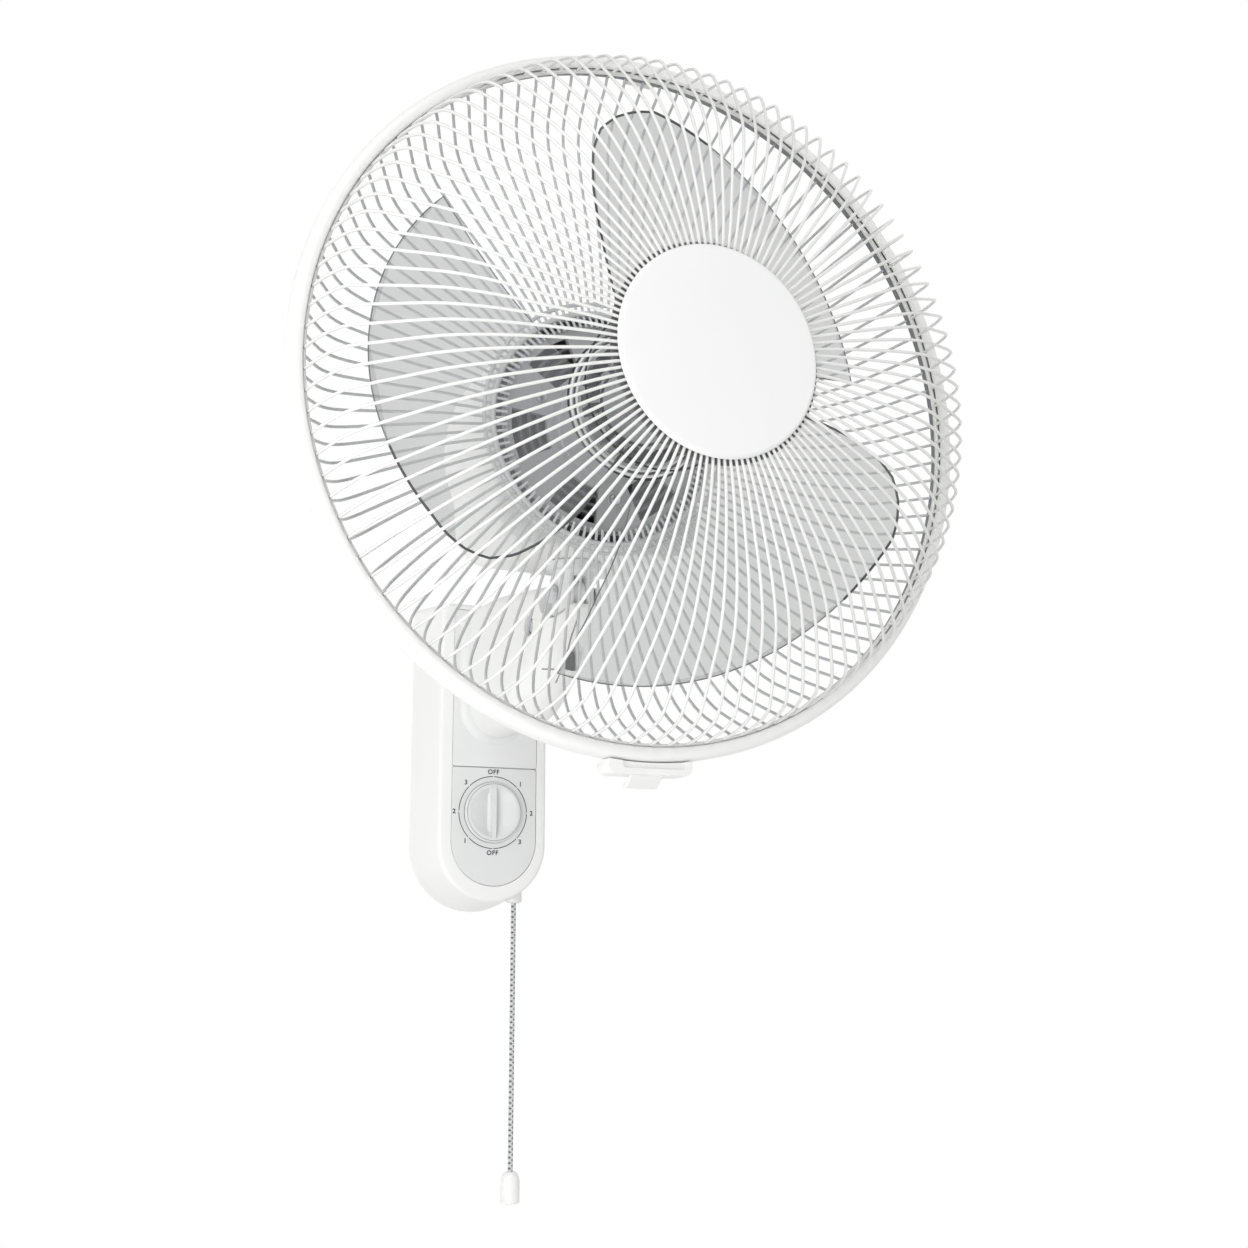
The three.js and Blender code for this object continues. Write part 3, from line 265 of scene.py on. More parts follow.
def cutWith(piece, cutters, operation="DIFFERENCE"):
    for cutter in cutters:
        cut = piece.modifiers.new("cut", "BOOLEAN")
        cut.operation = operation
        cut.object = cutter
        cut.solver = "EXACT"
    bpy.context.view_layer.update()
    depsgraph = bpy.context.evaluated_depsgraph_get()
    solid = bpy.data.meshes.new_from_object(piece.evaluated_get(depsgraph))
    piece.modifiers.clear()
    piece.data = solid
    for cutter in cutters:
        bpy.data.objects.remove(cutter)
    solid.shade_smooth()
    solid.set_sharp_from_angle(angle=math.radians(30))


def rodPiece(name, along, centre, radius, low, high, steps=48):
    return turnedPiece(name, [(0, low), (radius, low), (radius, high), (0, high)], along, centre, steps)


def boxPiece(name, low, high):
    ring = [(low[0], low[1]), (high[0], low[1]), (high[0], high[1]), (low[0], high[1])]
    return loftPiece(name, [[(x, y, z) for x, y in ring] for z in (low[2], high[2])])


# a smooth line through a few measured points
def smoothLine(points, steps):
    padded = [points[0]] + list(points) + [points[-1]]
    line = []
    for i in range(len(points) - 1):
        p0, p1, p2, p3 = [Vector(p) for p in padded[i:i + 4]]
        for k in range(steps):
            t = k / steps
            line.append(0.5 * (2 * p1 + (p2 - p0) * t + (2 * p0 - 5 * p1 + 4 * p2 - p3) * t * t
                               + (3 * p1 - 3 * p2 + p3 - p0) * t * t * t))
    line.append(Vector(points[-1]))
    return line


def wirePiece(name, lines, radius, sides=3):
    data = bpy.data.curves.new(name, "CURVE")
    data.dimensions = "3D"
    data.bevel_depth = radius * mm
    data.bevel_resolution = sides
    data.use_fill_caps = True
    for line in lines:
        spline = data.splines.new("POLY")
        spline.points.add(len(line) - 1)
        for point, place in zip(spline.points, line):
            point.co = (place[0] * mm, place[1] * mm, place[2] * mm, 1)
        spline.use_smooth = True
    piece = bpy.data.objects.new(name, data)
    collection.objects.link(piece)
    return piece


def circleRing(u, v, radius, steps):
    turns = [math.tau * i / steps for i in range(steps)]
    return [(u + radius * math.cos(turn), v + radius * math.sin(turn)) for turn in turns]


def halfRing(u, v, radius, start, steps):
    turns = [start + math.pi * i / steps for i in range(steps + 1)]
    return [(u + radius * math.cos(turn), v + radius * math.sin(turn)) for turn in turns]


# sine and cosine of a quarter turn's steps
def quarterTurn(steps, first=0):
    turns = [math.pi / 2 * i / steps for i in range(first, steps + 1)]
    return [(math.sin(turn), math.cos(turn)) for turn in turns]


# the two rounded upper corners of an outline
def topCorners(left, right, top, radius, steps):
    ring = []
    for centre, start in ((right - radius, 0), (left + radius, math.pi / 2)):
        for i in range(steps + 1):
            turn = math.pi / 2 * i / steps + start
            ring.append((centre + radius * math.cos(turn), top - radius + radius * math.sin(turn)))
    return ring


# a round wire that closes on itself, about a line along y
def hoopPiece(name, radius, y, tube, sides, steps=216, z=axisZ):
    piece = wirePiece(name, [[(x, y, w) for x, w in circleRing(0, z, radius, steps)]], tube, sides)
    piece.data.splines[0].use_cyclic_u = True
    return piece


# a flat band turned round the blade axis
def bandPiece(name, inner, outer, front, back, steps):
    profile = [(inner, front), (outer, front), (outer, back), (inner, back)]
    return turnedPiece(name, profile, "y", (0, axisZ), steps)


# pull cord: the braid, its end in the base and the pull
cordSettings = {
    "place": (19.7, -24.7), "exitZ": -89.6, "endZ": -249.8, "innerTop": -47.5, "diameter": 3.0, "points": 17}
cordPlace = cordSettings["place"]
cordDrop = cordSettings["endZ"] - cordSettings["exitZ"]
cordParts = [i / (cordSettings["points"] - 1) for i in range(cordSettings["points"])]
cordLine = [(*cordPlace, cordSettings["exitZ"] + cordDrop * part) for part in cordParts]
hangingCord = wirePiece("hangingCord", [cordLine], cordSettings["diameter"] / 2, 6)
dress(hangingCord, "cord", "cordBraid")
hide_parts("pull_cord")

cordInBase = rodPiece(
    "cordInBase", "z", cordPlace, cordSettings["diameter"] / 2, -89.5, cordSettings["innerTop"], 24)
dress(cordInBase, "cord", "cordBraid")

pullSettings = {"radius": 5.75, "low": -266.4, "top": -248.2, "edge": 0.9, "straight": 11.8, "narrow": 3.7}
pullRadius = pullSettings["radius"]
pullLow = pullSettings["low"]
pullEdge = pullSettings["edge"]
shoulder = pullLow + pullSettings["straight"]
pullProfile = [(0, pullLow), (pullRadius - pullEdge, pullLow)]
for sin, cos in quarterTurn(5, 1):
    pullProfile.append((pullRadius - pullEdge * (1 - sin), pullLow + pullEdge * (1 - cos)))
for sin, cos in quarterTurn(8):
    rise = (pullSettings["top"] - shoulder) * sin
    pullProfile.append((pullRadius - pullSettings["narrow"] * (1 - cos), shoulder + rise))
pullProfile.append((0, pullSettings["top"]))
pullEnd = turnedPiece("pullEnd", pullProfile, "z", cordPlace, 48)
dress(pullEnd, "cord", "shellWhite")
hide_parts("cord_pull")
print("cord ready")


# wire guards, rim and cap: a guard's profile is (radius, depth behind the rim's plane)
frontGuardSettings = {
    "wires": 108, "radius": 0.8, "phase": -0.13, "steps": 3,
    "profile": [
        (46, -74.7), (66, -74.6), (91, -71.3), (110.5, -67.6), (130.3, -60.5), (150, -47.5),
        (165.7, -35.8), (170.6, -28), (173.6, -19), (176.2, -7), (177.4, 1.9)],
    "hoop": (177.6, 1.9, 1.3),  # radius, depth and half of the thickness
}
rearGuardSettings = {
    "wires": 108, "radius": 0.8, "swirl": 5, "steps": 3,
    "profile": [
        (56.8, 55.2), (60.4, 55.3), (64.4, 55.6), (90.7, 51.2), (123.7, 47), (148.4, 41), (160.8, 33),
        (169, 21.4), (175, 11.5), (179.6, 5.8)],
    "hoops": [(64.4, 55.6, 1.5), (69.5, 54.9, 1.1)],
}


def guardLines(settings):
    profile = smoothLine([(r, dy, 0) for r, dy in settings["profile"]], settings["steps"])
    first = profile[0].x
    last = profile[-1].x
    lines = []
    for i in range(settings["wires"]):
        start = math.tau * i / settings["wires"] + math.radians(settings.get("phase", 0))
        line = []
        for spot in profile:
            angle = start - math.radians(settings.get("swirl", 0)) * (last - spot.x) / (last - first)
            line.append((spot.x * math.cos(angle), rimPlaneY + spot.y, axisZ + spot.x * math.sin(angle)))
        lines.append(line)
    return lines


frontWires = wirePiece("frontWires", guardLines(frontGuardSettings), frontGuardSettings["radius"], 2)
dress(frontWires, "guard", "wireWhite")
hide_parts("front_guard")
hoopRadius, hoopY, hoopTube = frontGuardSettings["hoop"]
frontHoop = hoopPiece("frontHoop", hoopRadius, rimPlaneY + hoopY, hoopTube, 4)
dress(frontHoop, "guard", "wireWhite")

rearWires = wirePiece("rearWires", guardLines(rearGuardSettings), rearGuardSettings["radius"], 2)
dress(rearWires, "head", "wireGrey")
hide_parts("rear_guard")
for number, (hoopRadius, hoopY, hoopTube) in enumerate(rearGuardSettings["hoops"]):
    rearHoop = hoopPiece(f"rearHoop_{number}", hoopRadius, rimPlaneY + hoopY, hoopTube, 4)
    dress(rearHoop, "head", "wireGrey")

rimSettings = {
    "outer": 185.5, "webInner": 183.3, "lipInner": 178.2, "back": -255.2,
    "face": [
        (178.2, -264.0), (178.35, -264.7), (178.9, -265.4), (180.2, -265.85), (181.6, -266.0), (183, -265.7),
        (184.2, -264.9), (185.0, -263.5), (185.4, -261.8), (185.5, -260.4)]}
rimOuter = rimSettings["outer"]
rimBack = rimSettings["back"]
webInner = rimSettings["webInner"]
rimProfile = [(spot.x, spot.y) for spot in smoothLine([(r, y, 0) for r, y in rimSettings["face"]], 3)]
rimBand = turnedPiece("rimBand", rimProfile + [
    (rimOuter, rimBack - 0.6), (rimOuter - 0.6, rimBack), (webInner + 0.4, rimBack),
    (webInner, rimBack - 0.4), (webInner, rimPlaneY), (rimSettings["lipInner"], rimPlaneY)],
    "y", (0, axisZ), 256, 28)
dress(rimBand, "guard", "shellWhite")
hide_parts("front_rim")

# painted shade lines inside the rim, then the band that the rear wires end on
dress(hoopPiece("lipShadeLine", 178.35, -263.9, 0.28, 2, 256), "guard", "bandAndShadeGrey")
dress(bandPiece("rimShadeBand", 182.95, 183.25, -263.6, -256.2, 256), "guard", "finAndShadeGrey")
rearBand = bandPiece("rearBand", 178.0, 182.6, -259.5, -255.5, 256)
softEdge(rearBand, 0.5, 2)
dress(rearBand, "head", "bandAndShadeGrey")

capSettings = {
    "radius": 52.3, "front": -342.0, "edge": 2.4, "back": -339.5, "inside": -339.9, "bossOuter": 38.5,
    "bossWall": 3, "bossBack": -336.8}
capBack = capSettings["back"]
bossOuter = capSettings["bossOuter"]
bossInner = bossOuter - capSettings["bossWall"]
capProfile = [(0, capSettings["front"])]
for sin, cos in quarterTurn(8):
    capProfile.append((
        capSettings["radius"] - capSettings["edge"] * (1 - sin),
        capSettings["front"] + capSettings["edge"] * 0.8 * (1 - cos)))
capProfile += [
    (capSettings["radius"] - 0.4, capBack), (bossOuter, capBack), (bossOuter, capSettings["bossBack"]),
    (bossInner, capSettings["bossBack"]), (bossInner, capSettings["inside"]), (0, capSettings["inside"])]
frontCap = turnedPiece("frontCap", capProfile, "y", (0, axisZ), 192)
dress(frontCap, "guard", "capWhite")
# a thin dark ring behind the cap: partly the clamp, partly a painted shadow of the cap that shows between the
# wires
dress(bandPiece("clampAndShadowRing", 48.6, 54.6, -337.3, -336.5, 192), "guard", "bandAndShadeGrey")
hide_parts("guard_cap")
print("guards ready")


# motor cover: a dome over the axis with a squared skirt below
coverSettings = {
    "radius": 66, "front": -206.4, "domeStart": -140.4, "domeDepth": 42, "skirtHalf": 59, "skirtCorner": 20,
    "skirtFront": -203.0, "skirtBack": -126.0, "skirtRound": 9, "wall": 2.5, "steps": 144, "seat": -202.8}


def coverReach(angle, y, inset):
    settings = coverSettings
    radius = settings["radius"] - inset
    if y > settings["domeStart"]:
        rise = min((y - settings["domeStart"]) / (settings["domeDepth"] - inset), 1)
        radius = radius * max(math.cos(math.asin(rise)), 0.0) ** 0.55
    if math.sin(angle) >= 0 or not settings["skirtFront"] <= y <= settings["skirtBack"]:
        return radius
    half = settings["skirtHalf"] - inset
    floor = settings["radius"] - inset
    corner = settings["skirtCorner"]
    cos = abs(math.cos(angle))
    sin = -math.sin(angle)
    square = min(half / max(cos, 1e-6), floor / max(sin, 1e-6))
    middle = (half - corner, floor - corner)
    along = middle[0] * cos + middle[1] * sin
    off = middle[0] ** 2 + middle[1] ** 2 - along ** 2
    if off < corner ** 2:
        rounded = along + math.sqrt(corner ** 2 - off)
        spot = (rounded * cos, rounded * sin)
        if spot[0] > middle[0] and spot[1] > middle[1]:
            square = rounded
    grow = 1.0
    left = settings["skirtBack"] - y
    if left < settings["skirtRound"]:
        grow = math.sqrt(max(1 - (1 - left / settings["skirtRound"]) ** 2, 0))
    ahead = y - settings["skirtFront"]
    if ahead < 3:
        grow = min(grow, math.sqrt(max(1 - (1 - ahead / 3) ** 2, 0)))
    return max(radius, radius + (square - radius) * grow)


def coverRing(y, inset, limit=None):
    ring = []
    for i in range(coverSettings["steps"]):
        angle = math.tau * i / coverSettings["steps"]
        reach = coverReach(angle, y, inset) if limit is None else limit
        ring.append((reach * math.cos(angle), y, axisZ + reach * math.sin(angle)))
    return ring


# rings of the shell: forward along the inside, round the front lip, and back over the outside
coverFront = coverSettings["front"]
domeDepth = coverSettings["domeDepth"]
coverBack = coverSettings["domeStart"] + domeDepth
domeStops = [coverBack - domeDepth * (1 - math.sin(math.radians(a))) for a in range(6, 90, 7)]
outerStops = [coverFront, -205.4, -203.1, -202.9, -202.0, -200.6, -199.5, -190, -175, -160, -145]
outerStops += [-138.5, -135, -132.5, -130, -128, -126.8, -126.05, -125.9]
outerStops = sorted(set(outerStops + [y for y in domeStops if not -140 < y < -125.8]))
coverRings = [coverRing(coverBack - 3.0, 0, 0.5)]
innerStops = [y for y in reversed(outerStops) if -199 < y < coverBack - 3.4]
coverRings += [coverRing(y, coverSettings["wall"]) for y in innerStops]
for y, reach in (
        (-199, 61), (coverSettings["seat"], 61), (coverSettings["seat"], 62.5), (-206.2, 62.5),
        (coverFront, 62.8), (coverFront, 65.5)):
    coverRings.append(coverRing(y, 0, reach))
coverRings += [coverRing(y, 0) for y in outerStops if y > coverFront]
coverRings.append(coverRing(coverBack, 0, 1.5))
motorShell = loftPiece("motorShell", coverRings, sharp=40)
cutWith(motorShell, [
    rodPiece("spindleHole", "z", (0, pivotY), 6.4, 90, 100),
    rodPiece("clutchHole", "z", (20, -150.5), 2.9, 200, 240)])
dress(motorShell, "head", "shellWhite")
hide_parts("motor_cover")


# a slab bounded by two radii and two angles about the blade axis
def arcSlab(name, inner, outer, startAngle, endAngle, lowY, highY, steps=14):
    ring = []
    for i in range(steps + 1):
        angle = startAngle + (endAngle - startAngle) * i / steps
        ring.append((outer * math.cos(angle), outer * math.sin(angle)))
    for i in range(steps, -1, -1):
        angle = startAngle + (endAngle - startAngle) * i / steps
        ring.append((inner * math.cos(angle), inner * math.sin(angle)))
    return loftPiece(name, [[(x, y, axisZ + z) for x, z in ring] for y in (lowY, highY)])


plateSettings = {
    "radius": 62.2, "front": -206.1, "back": -203.1, "bore": 8.35, "boss": -208.1, "vents": 6, "ventIn": 33,
    "ventOut": 53.2, "ventPhase": 0.17, "ventSpan": 0.27, "screwRadius": 39}
plateFront = plateSettings["front"]
plateBack = plateSettings["back"]
ventSpan = plateSettings["ventSpan"]
ventMiddles = [
    math.tau * i / plateSettings["vents"] + plateSettings["ventPhase"] for i in range(plateSettings["vents"])]
motorFront = turnedPiece("motorFront", [
    (plateSettings["bore"], plateSettings["boss"]), (13.4, plateSettings["boss"]), (14.2, -207.8),
    (16, plateFront), (26, plateFront), (26.6, plateFront + 0.5), (29, plateFront + 0.5), (29.6, plateFront),
    (57, plateFront), (57.5, plateFront + 0.6), (58.6, plateFront + 0.6), (59.1, plateFront),
    (61.4, plateFront), (plateSettings["radius"], plateFront + 0.8), (plateSettings["radius"], plateBack),
    (plateSettings["bore"], plateBack)], "y", (0, axisZ), 144)
cutWith(motorFront, [
    arcSlab(
        f"vent_{i}", plateSettings["ventIn"], plateSettings["ventOut"], middle - ventSpan, middle + ventSpan,
        -210, -200)
    for i, middle in enumerate(ventMiddles)])
dress(motorFront, "head", "plateGrey")
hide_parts("motor_plate")


def plateSpot(angle):
    radius = plateSettings["screwRadius"]
    return (radius * math.cos(angle), axisZ + radius * math.sin(angle))


for i in range(3):
    angle = math.tau * i / 3 + math.radians(40)
    plateScrew = turnedPiece(f"plateScrew_{i}", [
        (0, -208.0), (1.6, -208.0), (2.8, -207.3), (3.1, -206.5), (3.1, -206.2), (0, -206.2)],
        "y", plateSpot(angle), 24)
    dress(plateScrew, "head", "steelBright")
# a dark band round the plate's rim: the gap to the cover, with painted shade in it
dress(bandPiece("plateGapShade", 58.9, 61.9, -206.3, -206.0, 144), "head", "canAndShadeDark")
finSettings = {"perVent": 3, "step": 5, "half": 0.7, "front": -205.6, "back": -203.4}
finHalf = finSettings["half"]
for i, middle in enumerate(ventMiddles):
    for k in range(finSettings["perVent"]):
        radius = plateSettings["ventIn"] + finSettings["step"] * (k + 1)
        fin = arcSlab(
            f"ventFin_{i * finSettings['perVent'] + k}", radius - finHalf, radius + finHalf,
            middle - ventSpan + 0.01, middle + ventSpan - 0.01, finSettings["front"], finSettings["back"], 6)
        dress(fin, "head", "finAndShadeGrey")
plateBoss = turnedPiece("plateBoss", [
    (0, -206.6), (3.6, -206.6), (4.1, -206.9), (4.6, -206.6), (4.8, -206.0), (0, -206.0)],
    "y", plateSpot(math.radians(-80)), 48)
dress(plateBoss, "head", "plateGrey")
print("motor ready")


# blades and hub: a table row is (radius, degrees) or (radius, depth)
bladeSettings = {
    "blades": 3, "tip": 145, "thickness": 1.7, "camber": 8, "rows": 30, "columns": 26, "root": 38.3,
    "lead": [(38, 31), (70, 25), (100, 20), (130, 16.4), (145, 15)],
    "trail": [
        (38, 119), (53, 118), (82, 116), (105, 113), (124, 109.5), (135, 106), (141, 101.5), (144, 97),
        (145, 93)],
    "leadDepth": [(38, 20.6), (70, 20.6), (100, 24.7), (145, 28.9)],
    "trailDepth": [(38, -11.5), (53, -12.4), (82, -20.6), (105, -22.3), (145, -23)],
}


def readTable(table, value):
    for (x0, y0), (x1, y1) in zip(table, table[1:]):
        if value <= x1:
            break
    return y0 + (y1 - y0) * (value - x0) / (x1 - x0)


def bladeSpot(radius, t, lift, turn):
    lead = readTable(bladeSettings["lead"], radius)
    trail = readTable(bladeSettings["trail"], radius)
    angle = math.radians(lead + (trail - lead) * t) + turn
    deep = readTable(bladeSettings["leadDepth"], radius)
    shallow = readTable(bladeSettings["trailDepth"], radius)
    depth = deep + (shallow - deep) * t + bladeSettings["camber"] * math.sin(math.pi * t) + lift
    return (radius * math.cos(angle), rimPlaneY + depth, axisZ + radius * math.sin(angle))


bladeRows = []
for i in range(bladeSettings["rows"] + 1):
    part = math.sin(math.pi / 2 * i / bladeSettings["rows"]) ** 1.15
    bladeRows.append(bladeSettings["root"] + (bladeSettings["tip"] - bladeSettings["root"]) * part)
half = bladeSettings["thickness"] / 2
tip = bladeSettings["tip"]
columns = bladeSettings["columns"]
for number in range(bladeSettings["blades"]):
    turn = math.tau * number / bladeSettings["blades"]
    rings = []
    for radius in bladeRows:
        ring = [bladeSpot(radius, k / columns, half, turn) for k in range(columns + 1)]
        ring += [bladeSpot(radius, k / columns, -half, turn) for k in range(columns, -1, -1)]
        rings.append(ring)
    blade = loftPiece(f"blade_{number}", rings, sharp=50)
    softEdge(blade, 0.5, 2, 50)
    dress(blade, "rotor", "bladeClear")
    leadLine = [bladeSpot(radius, 0, 0, turn) for radius in bladeRows[2:]]
    leadLine += [bladeSpot(tip, k / columns, 0, turn) for k in range(1, columns + 1)]
    bladeEdge = wirePiece(f"bladeEdge_{number}", [leadLine], 0.34, 2)
    dress(bladeEdge, "rotor", "bladeRim")
    tailLine = [bladeSpot(tip, k / columns, 0, turn) for k in range(columns - 5, columns + 1)]
    tailLine += [bladeSpot(radius, 1, 0, turn) for radius in reversed(bladeRows[:-1])]
    tailEdge = wirePiece(f"bladeTail_{number}", [tailLine], 0.66, 2)
    dress(tailEdge, "rotor", "tailDark")
    if number == 0:
        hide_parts("fan_blade")

hubSettings = {"front": -280.3, "back": -249.8, "frontRadius": 42, "backRadius": 39, "wall": 2.2}
hubFront = hubSettings["front"]
hubBack = hubSettings["back"]
hubWall = hubSettings["wall"]
backRadius = hubSettings["backRadius"]
hubCup = turnedPiece("hubCup", [
    (4.2, hubFront), (16, hubFront), (16.6, hubFront + 0.5), (27, hubFront + 0.5), (27.6, hubFront),
    (38.2, hubFront), (40.2, hubFront + 0.6), (41.4, hubFront + 1.7),
    (hubSettings["frontRadius"], hubFront + 3.4), (backRadius, hubBack), (backRadius - hubWall, hubBack),
    (39.6, hubFront + 3.6), (38.2, hubFront + hubWall), (9, hubFront + hubWall), (8.6, hubBack - 3),
    (4.2, hubBack - 3)], "y", (0, axisZ), 144)
dress(hubCup, "rotor", "hubClear")
ribSettings = {"count": 24, "inner": 26.5, "outer": 32.6, "front": -262, "back": -251.4, "half": 0.07}
for number in range(ribSettings["count"]):
    turn = math.tau * number / ribSettings["count"]
    hubRib = arcSlab(
        f"hubRib_{number}", ribSettings["inner"], ribSettings["outer"], turn - ribSettings["half"],
        turn + ribSettings["half"], ribSettings["front"], ribSettings["back"], 2)
    dress(hubRib, "rotor", "tailDark")
hubRing = bandPiece("hubRing", ribSettings["inner"] - 1.2, ribSettings["inner"], -278, -253, 96)
dress(hubRing, "rotor", "hubClear")
# the hub's edges, with painted highlights and a painted shade band along them: name, radius, place, half of
# the thickness, finish
hubLines = (
    ("hubFrontLine", 41.6, hubFront + 2.2, 0.5, "inkAndShadeDark"),
    ("hubBackLine", 39.2, hubBack - 0.4, 0.5, "inkAndShadeDark"),
    ("hubBackGleam", 37.6, hubBack - 0.6, 0.8, "hubGleam"),
    ("hubMidShade", 36, -250.6, 0.5, "inkAndShadeDark"),
    ("hubMidGleam", 34.6, -250.6, 0.8, "hubGleam"),
    ("hubRibGleam", 25.2, -251.2, 0.8, "hubGleam"),
    ("hubRibLine", 21.4, -252, 0.8, "tailDark"))
for name, radius, y, line, finishName in hubLines:
    hubEdge = hoopPiece(name, radius, y, line, 2, 120)
    dress(hubEdge, "rotor", finishName)
nutSettings = {
    "profile": [
        (0, -280.6), (13, -280.6), (13, -285.6), (12.2, -287.4), (10.4, -290), (9, -291.6), (7, -292.3),
        (0, -292.3)],
    "bore": 4.2, "grips": 8, "gripReach": 12.9, "gripRadius": 0.7}
spinner = turnedPiece("spinner", nutSettings["profile"], "y", (0, axisZ), 64)
cutWith(spinner, [rodPiece("spinnerBore", "y", (0, axisZ), nutSettings["bore"], -287.3, -279)])
for i, (x, z) in enumerate(circleRing(0, axisZ, nutSettings["gripReach"], nutSettings["grips"])):
    gripLine = [(x, y, z) for y in (-281.4, -283.4, -285.4)]
    grip = wirePiece(f"spinnerGrip_{i}", [gripLine], nutSettings["gripRadius"], 3)
    dress(grip, "rotor", "neckGrey")
dress(spinner, "rotor", "neckGrey")
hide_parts("spinner_nut")
print("blades ready")


# base on the wall
baseSettings = {
    "backHalf": 40.4, "frontHalf": 34.6, "halfHeight": 94.8, "depth": 39.6, "topDrop": 2, "edge": 2.2,
    "wall": 2.2, "frontWall": 3.2, "stripLow": -26.8, "stripHigh": 28.3, "panelTop": -7.8, "panelArcZ": -52.4,
    "inlay": 1.5, "recess": 1.8, "gap": 0.3, "knobHole": 16.6, "cordHole": 5.3, "corner": 4}


def baseRing(y, inset):
    depth = baseSettings["depth"]
    backHalf = baseSettings["backHalf"]
    half = backHalf + y * (backHalf - baseSettings["frontHalf"]) / depth - inset
    top = baseSettings["halfHeight"] + y / depth * baseSettings["topDrop"] - inset
    arcZ = backHalf - baseSettings["halfHeight"]
    corner = max(baseSettings["corner"] - inset, 1.2)
    ring = halfRing(0, arcZ, half, math.pi, 48) + topCorners(-half, half, top, corner, 8)
    return [(x, y, z) for x, z in ring]


def roundedRing(uLow, uHigh, vLow, vHigh, radius, steps=8):
    ring = []
    corners = ((uHigh, vLow, -90), (uHigh, vHigh, 0), (uLow, vHigh, 90), (uLow, vLow, 180))
    for u, v, start in corners:
        centreU = u - radius if u == uHigh else u + radius
        centreV = v - radius if v == vHigh else v + radius
        for i in range(steps + 1):
            turn = math.radians(start + 90 * i / steps)
            ring.append((centreU + radius * math.cos(turn), centreV + radius * math.sin(turn)))
    return ring


def slabY(name, ring, frontY, backY):
    return loftPiece(name, [[(x, y, z) for x, z in ring] for y in (frontY, backY)])


def slabX(name, ring, lowX, highX):
    return loftPiece(name, [[(x, y, z) for y, z in ring] for x in (lowX, highX)])


def panelRing(inset):
    left = baseSettings["stripLow"] + inset
    right = baseSettings["stripHigh"] - inset
    ring = halfRing((left + right) / 2, baseSettings["panelArcZ"], (right - left) / 2, math.pi, 40)
    return ring + topCorners(left, right, baseSettings["panelTop"] - inset, 1.2, 4)


# section of the arm: round below, softened corners above
def armOutline(low, high, half, corner):
    tall = high - low
    belly = min(half, tall * 0.5)
    soft = min(corner, tall * 0.3, half * 0.5)
    ring = []
    for i in range(37):
        turn = math.pi + math.pi * i / 36
        ring.append((half * math.cos(turn), low + belly + belly * math.sin(turn)))
    return ring + topCorners(-half, half, high, soft, 12)


baseFront = -baseSettings["depth"]
edge = baseSettings["edge"]
baseRings = [baseRing(0, 0), baseRing(baseFront + edge, 0)]
baseRings += [baseRing(baseFront + edge * (1 - sin), edge * (1 - cos)) for sin, cos in quarterTurn(6, 1)]
baseShell = loftPiece("baseShell", baseRings, sharp=40)
innerFront = baseFront + baseSettings["frontWall"]
wall = baseSettings["wall"]
inlayBack = baseFront + baseSettings["inlay"]
recessBack = baseFront + baseSettings["recess"]
knobHole = baseSettings["knobHole"]
armHole = armOutline(10.4, 89.8, 18.8, 7.3)
cutWith(baseShell, [
    loftPiece("hollow", [baseRing(1, wall), baseRing(innerFront, wall)]),
    slabY("stripRecess", roundedRing(-26.8, 28.3, -7.8, 89.5, 1), baseFront - 1, recessBack),
    slabY("panelRecess", panelRing(0), baseFront - 1, recessBack),
    slabY("armWay", armHole, baseFront - 1, innerFront + 1),
    rodPiece("knobWay", "y", (0, dialZ), knobHole, baseFront - 1, innerFront + 1, 96),
    rodPiece("cordWay", "z", cordPlace, baseSettings["cordHole"], -95, -70)])
dress(baseShell, "base", "shellWhite")
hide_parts("base_housing")

strip = slabY("strip", roundedRing(-26.5, 28, -7.5, 89.2, 1), baseFront, inlayBack)
cutWith(strip, [slabY("stripArm", armHole, baseFront - 1, 0)])
softEdge(strip, 0.25, 2)
dress(strip, "base", "stripGrey")
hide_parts("fascia_strip")
panel = slabY("panel", panelRing(baseSettings["gap"]), baseFront, inlayBack)
cutWith(panel, [rodPiece("panelHole", "y", (0, dialZ), knobHole, baseFront - 1, 0, 96)])
softEdge(panel, 0.3, 2)
dress(panel, "base", "panelGrey")
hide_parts("control_plate")

bushPiece = turnedPiece("bushPiece", [
    (2.1, -89.6), (3.6, -89.6), (4.6, -89.0), (5, -88), (5, -77), (2.1, -77)], "z", cordPlace, 48)
dress(bushPiece, "base", "bushWhite")
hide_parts("cord_bush")
print("base ready")


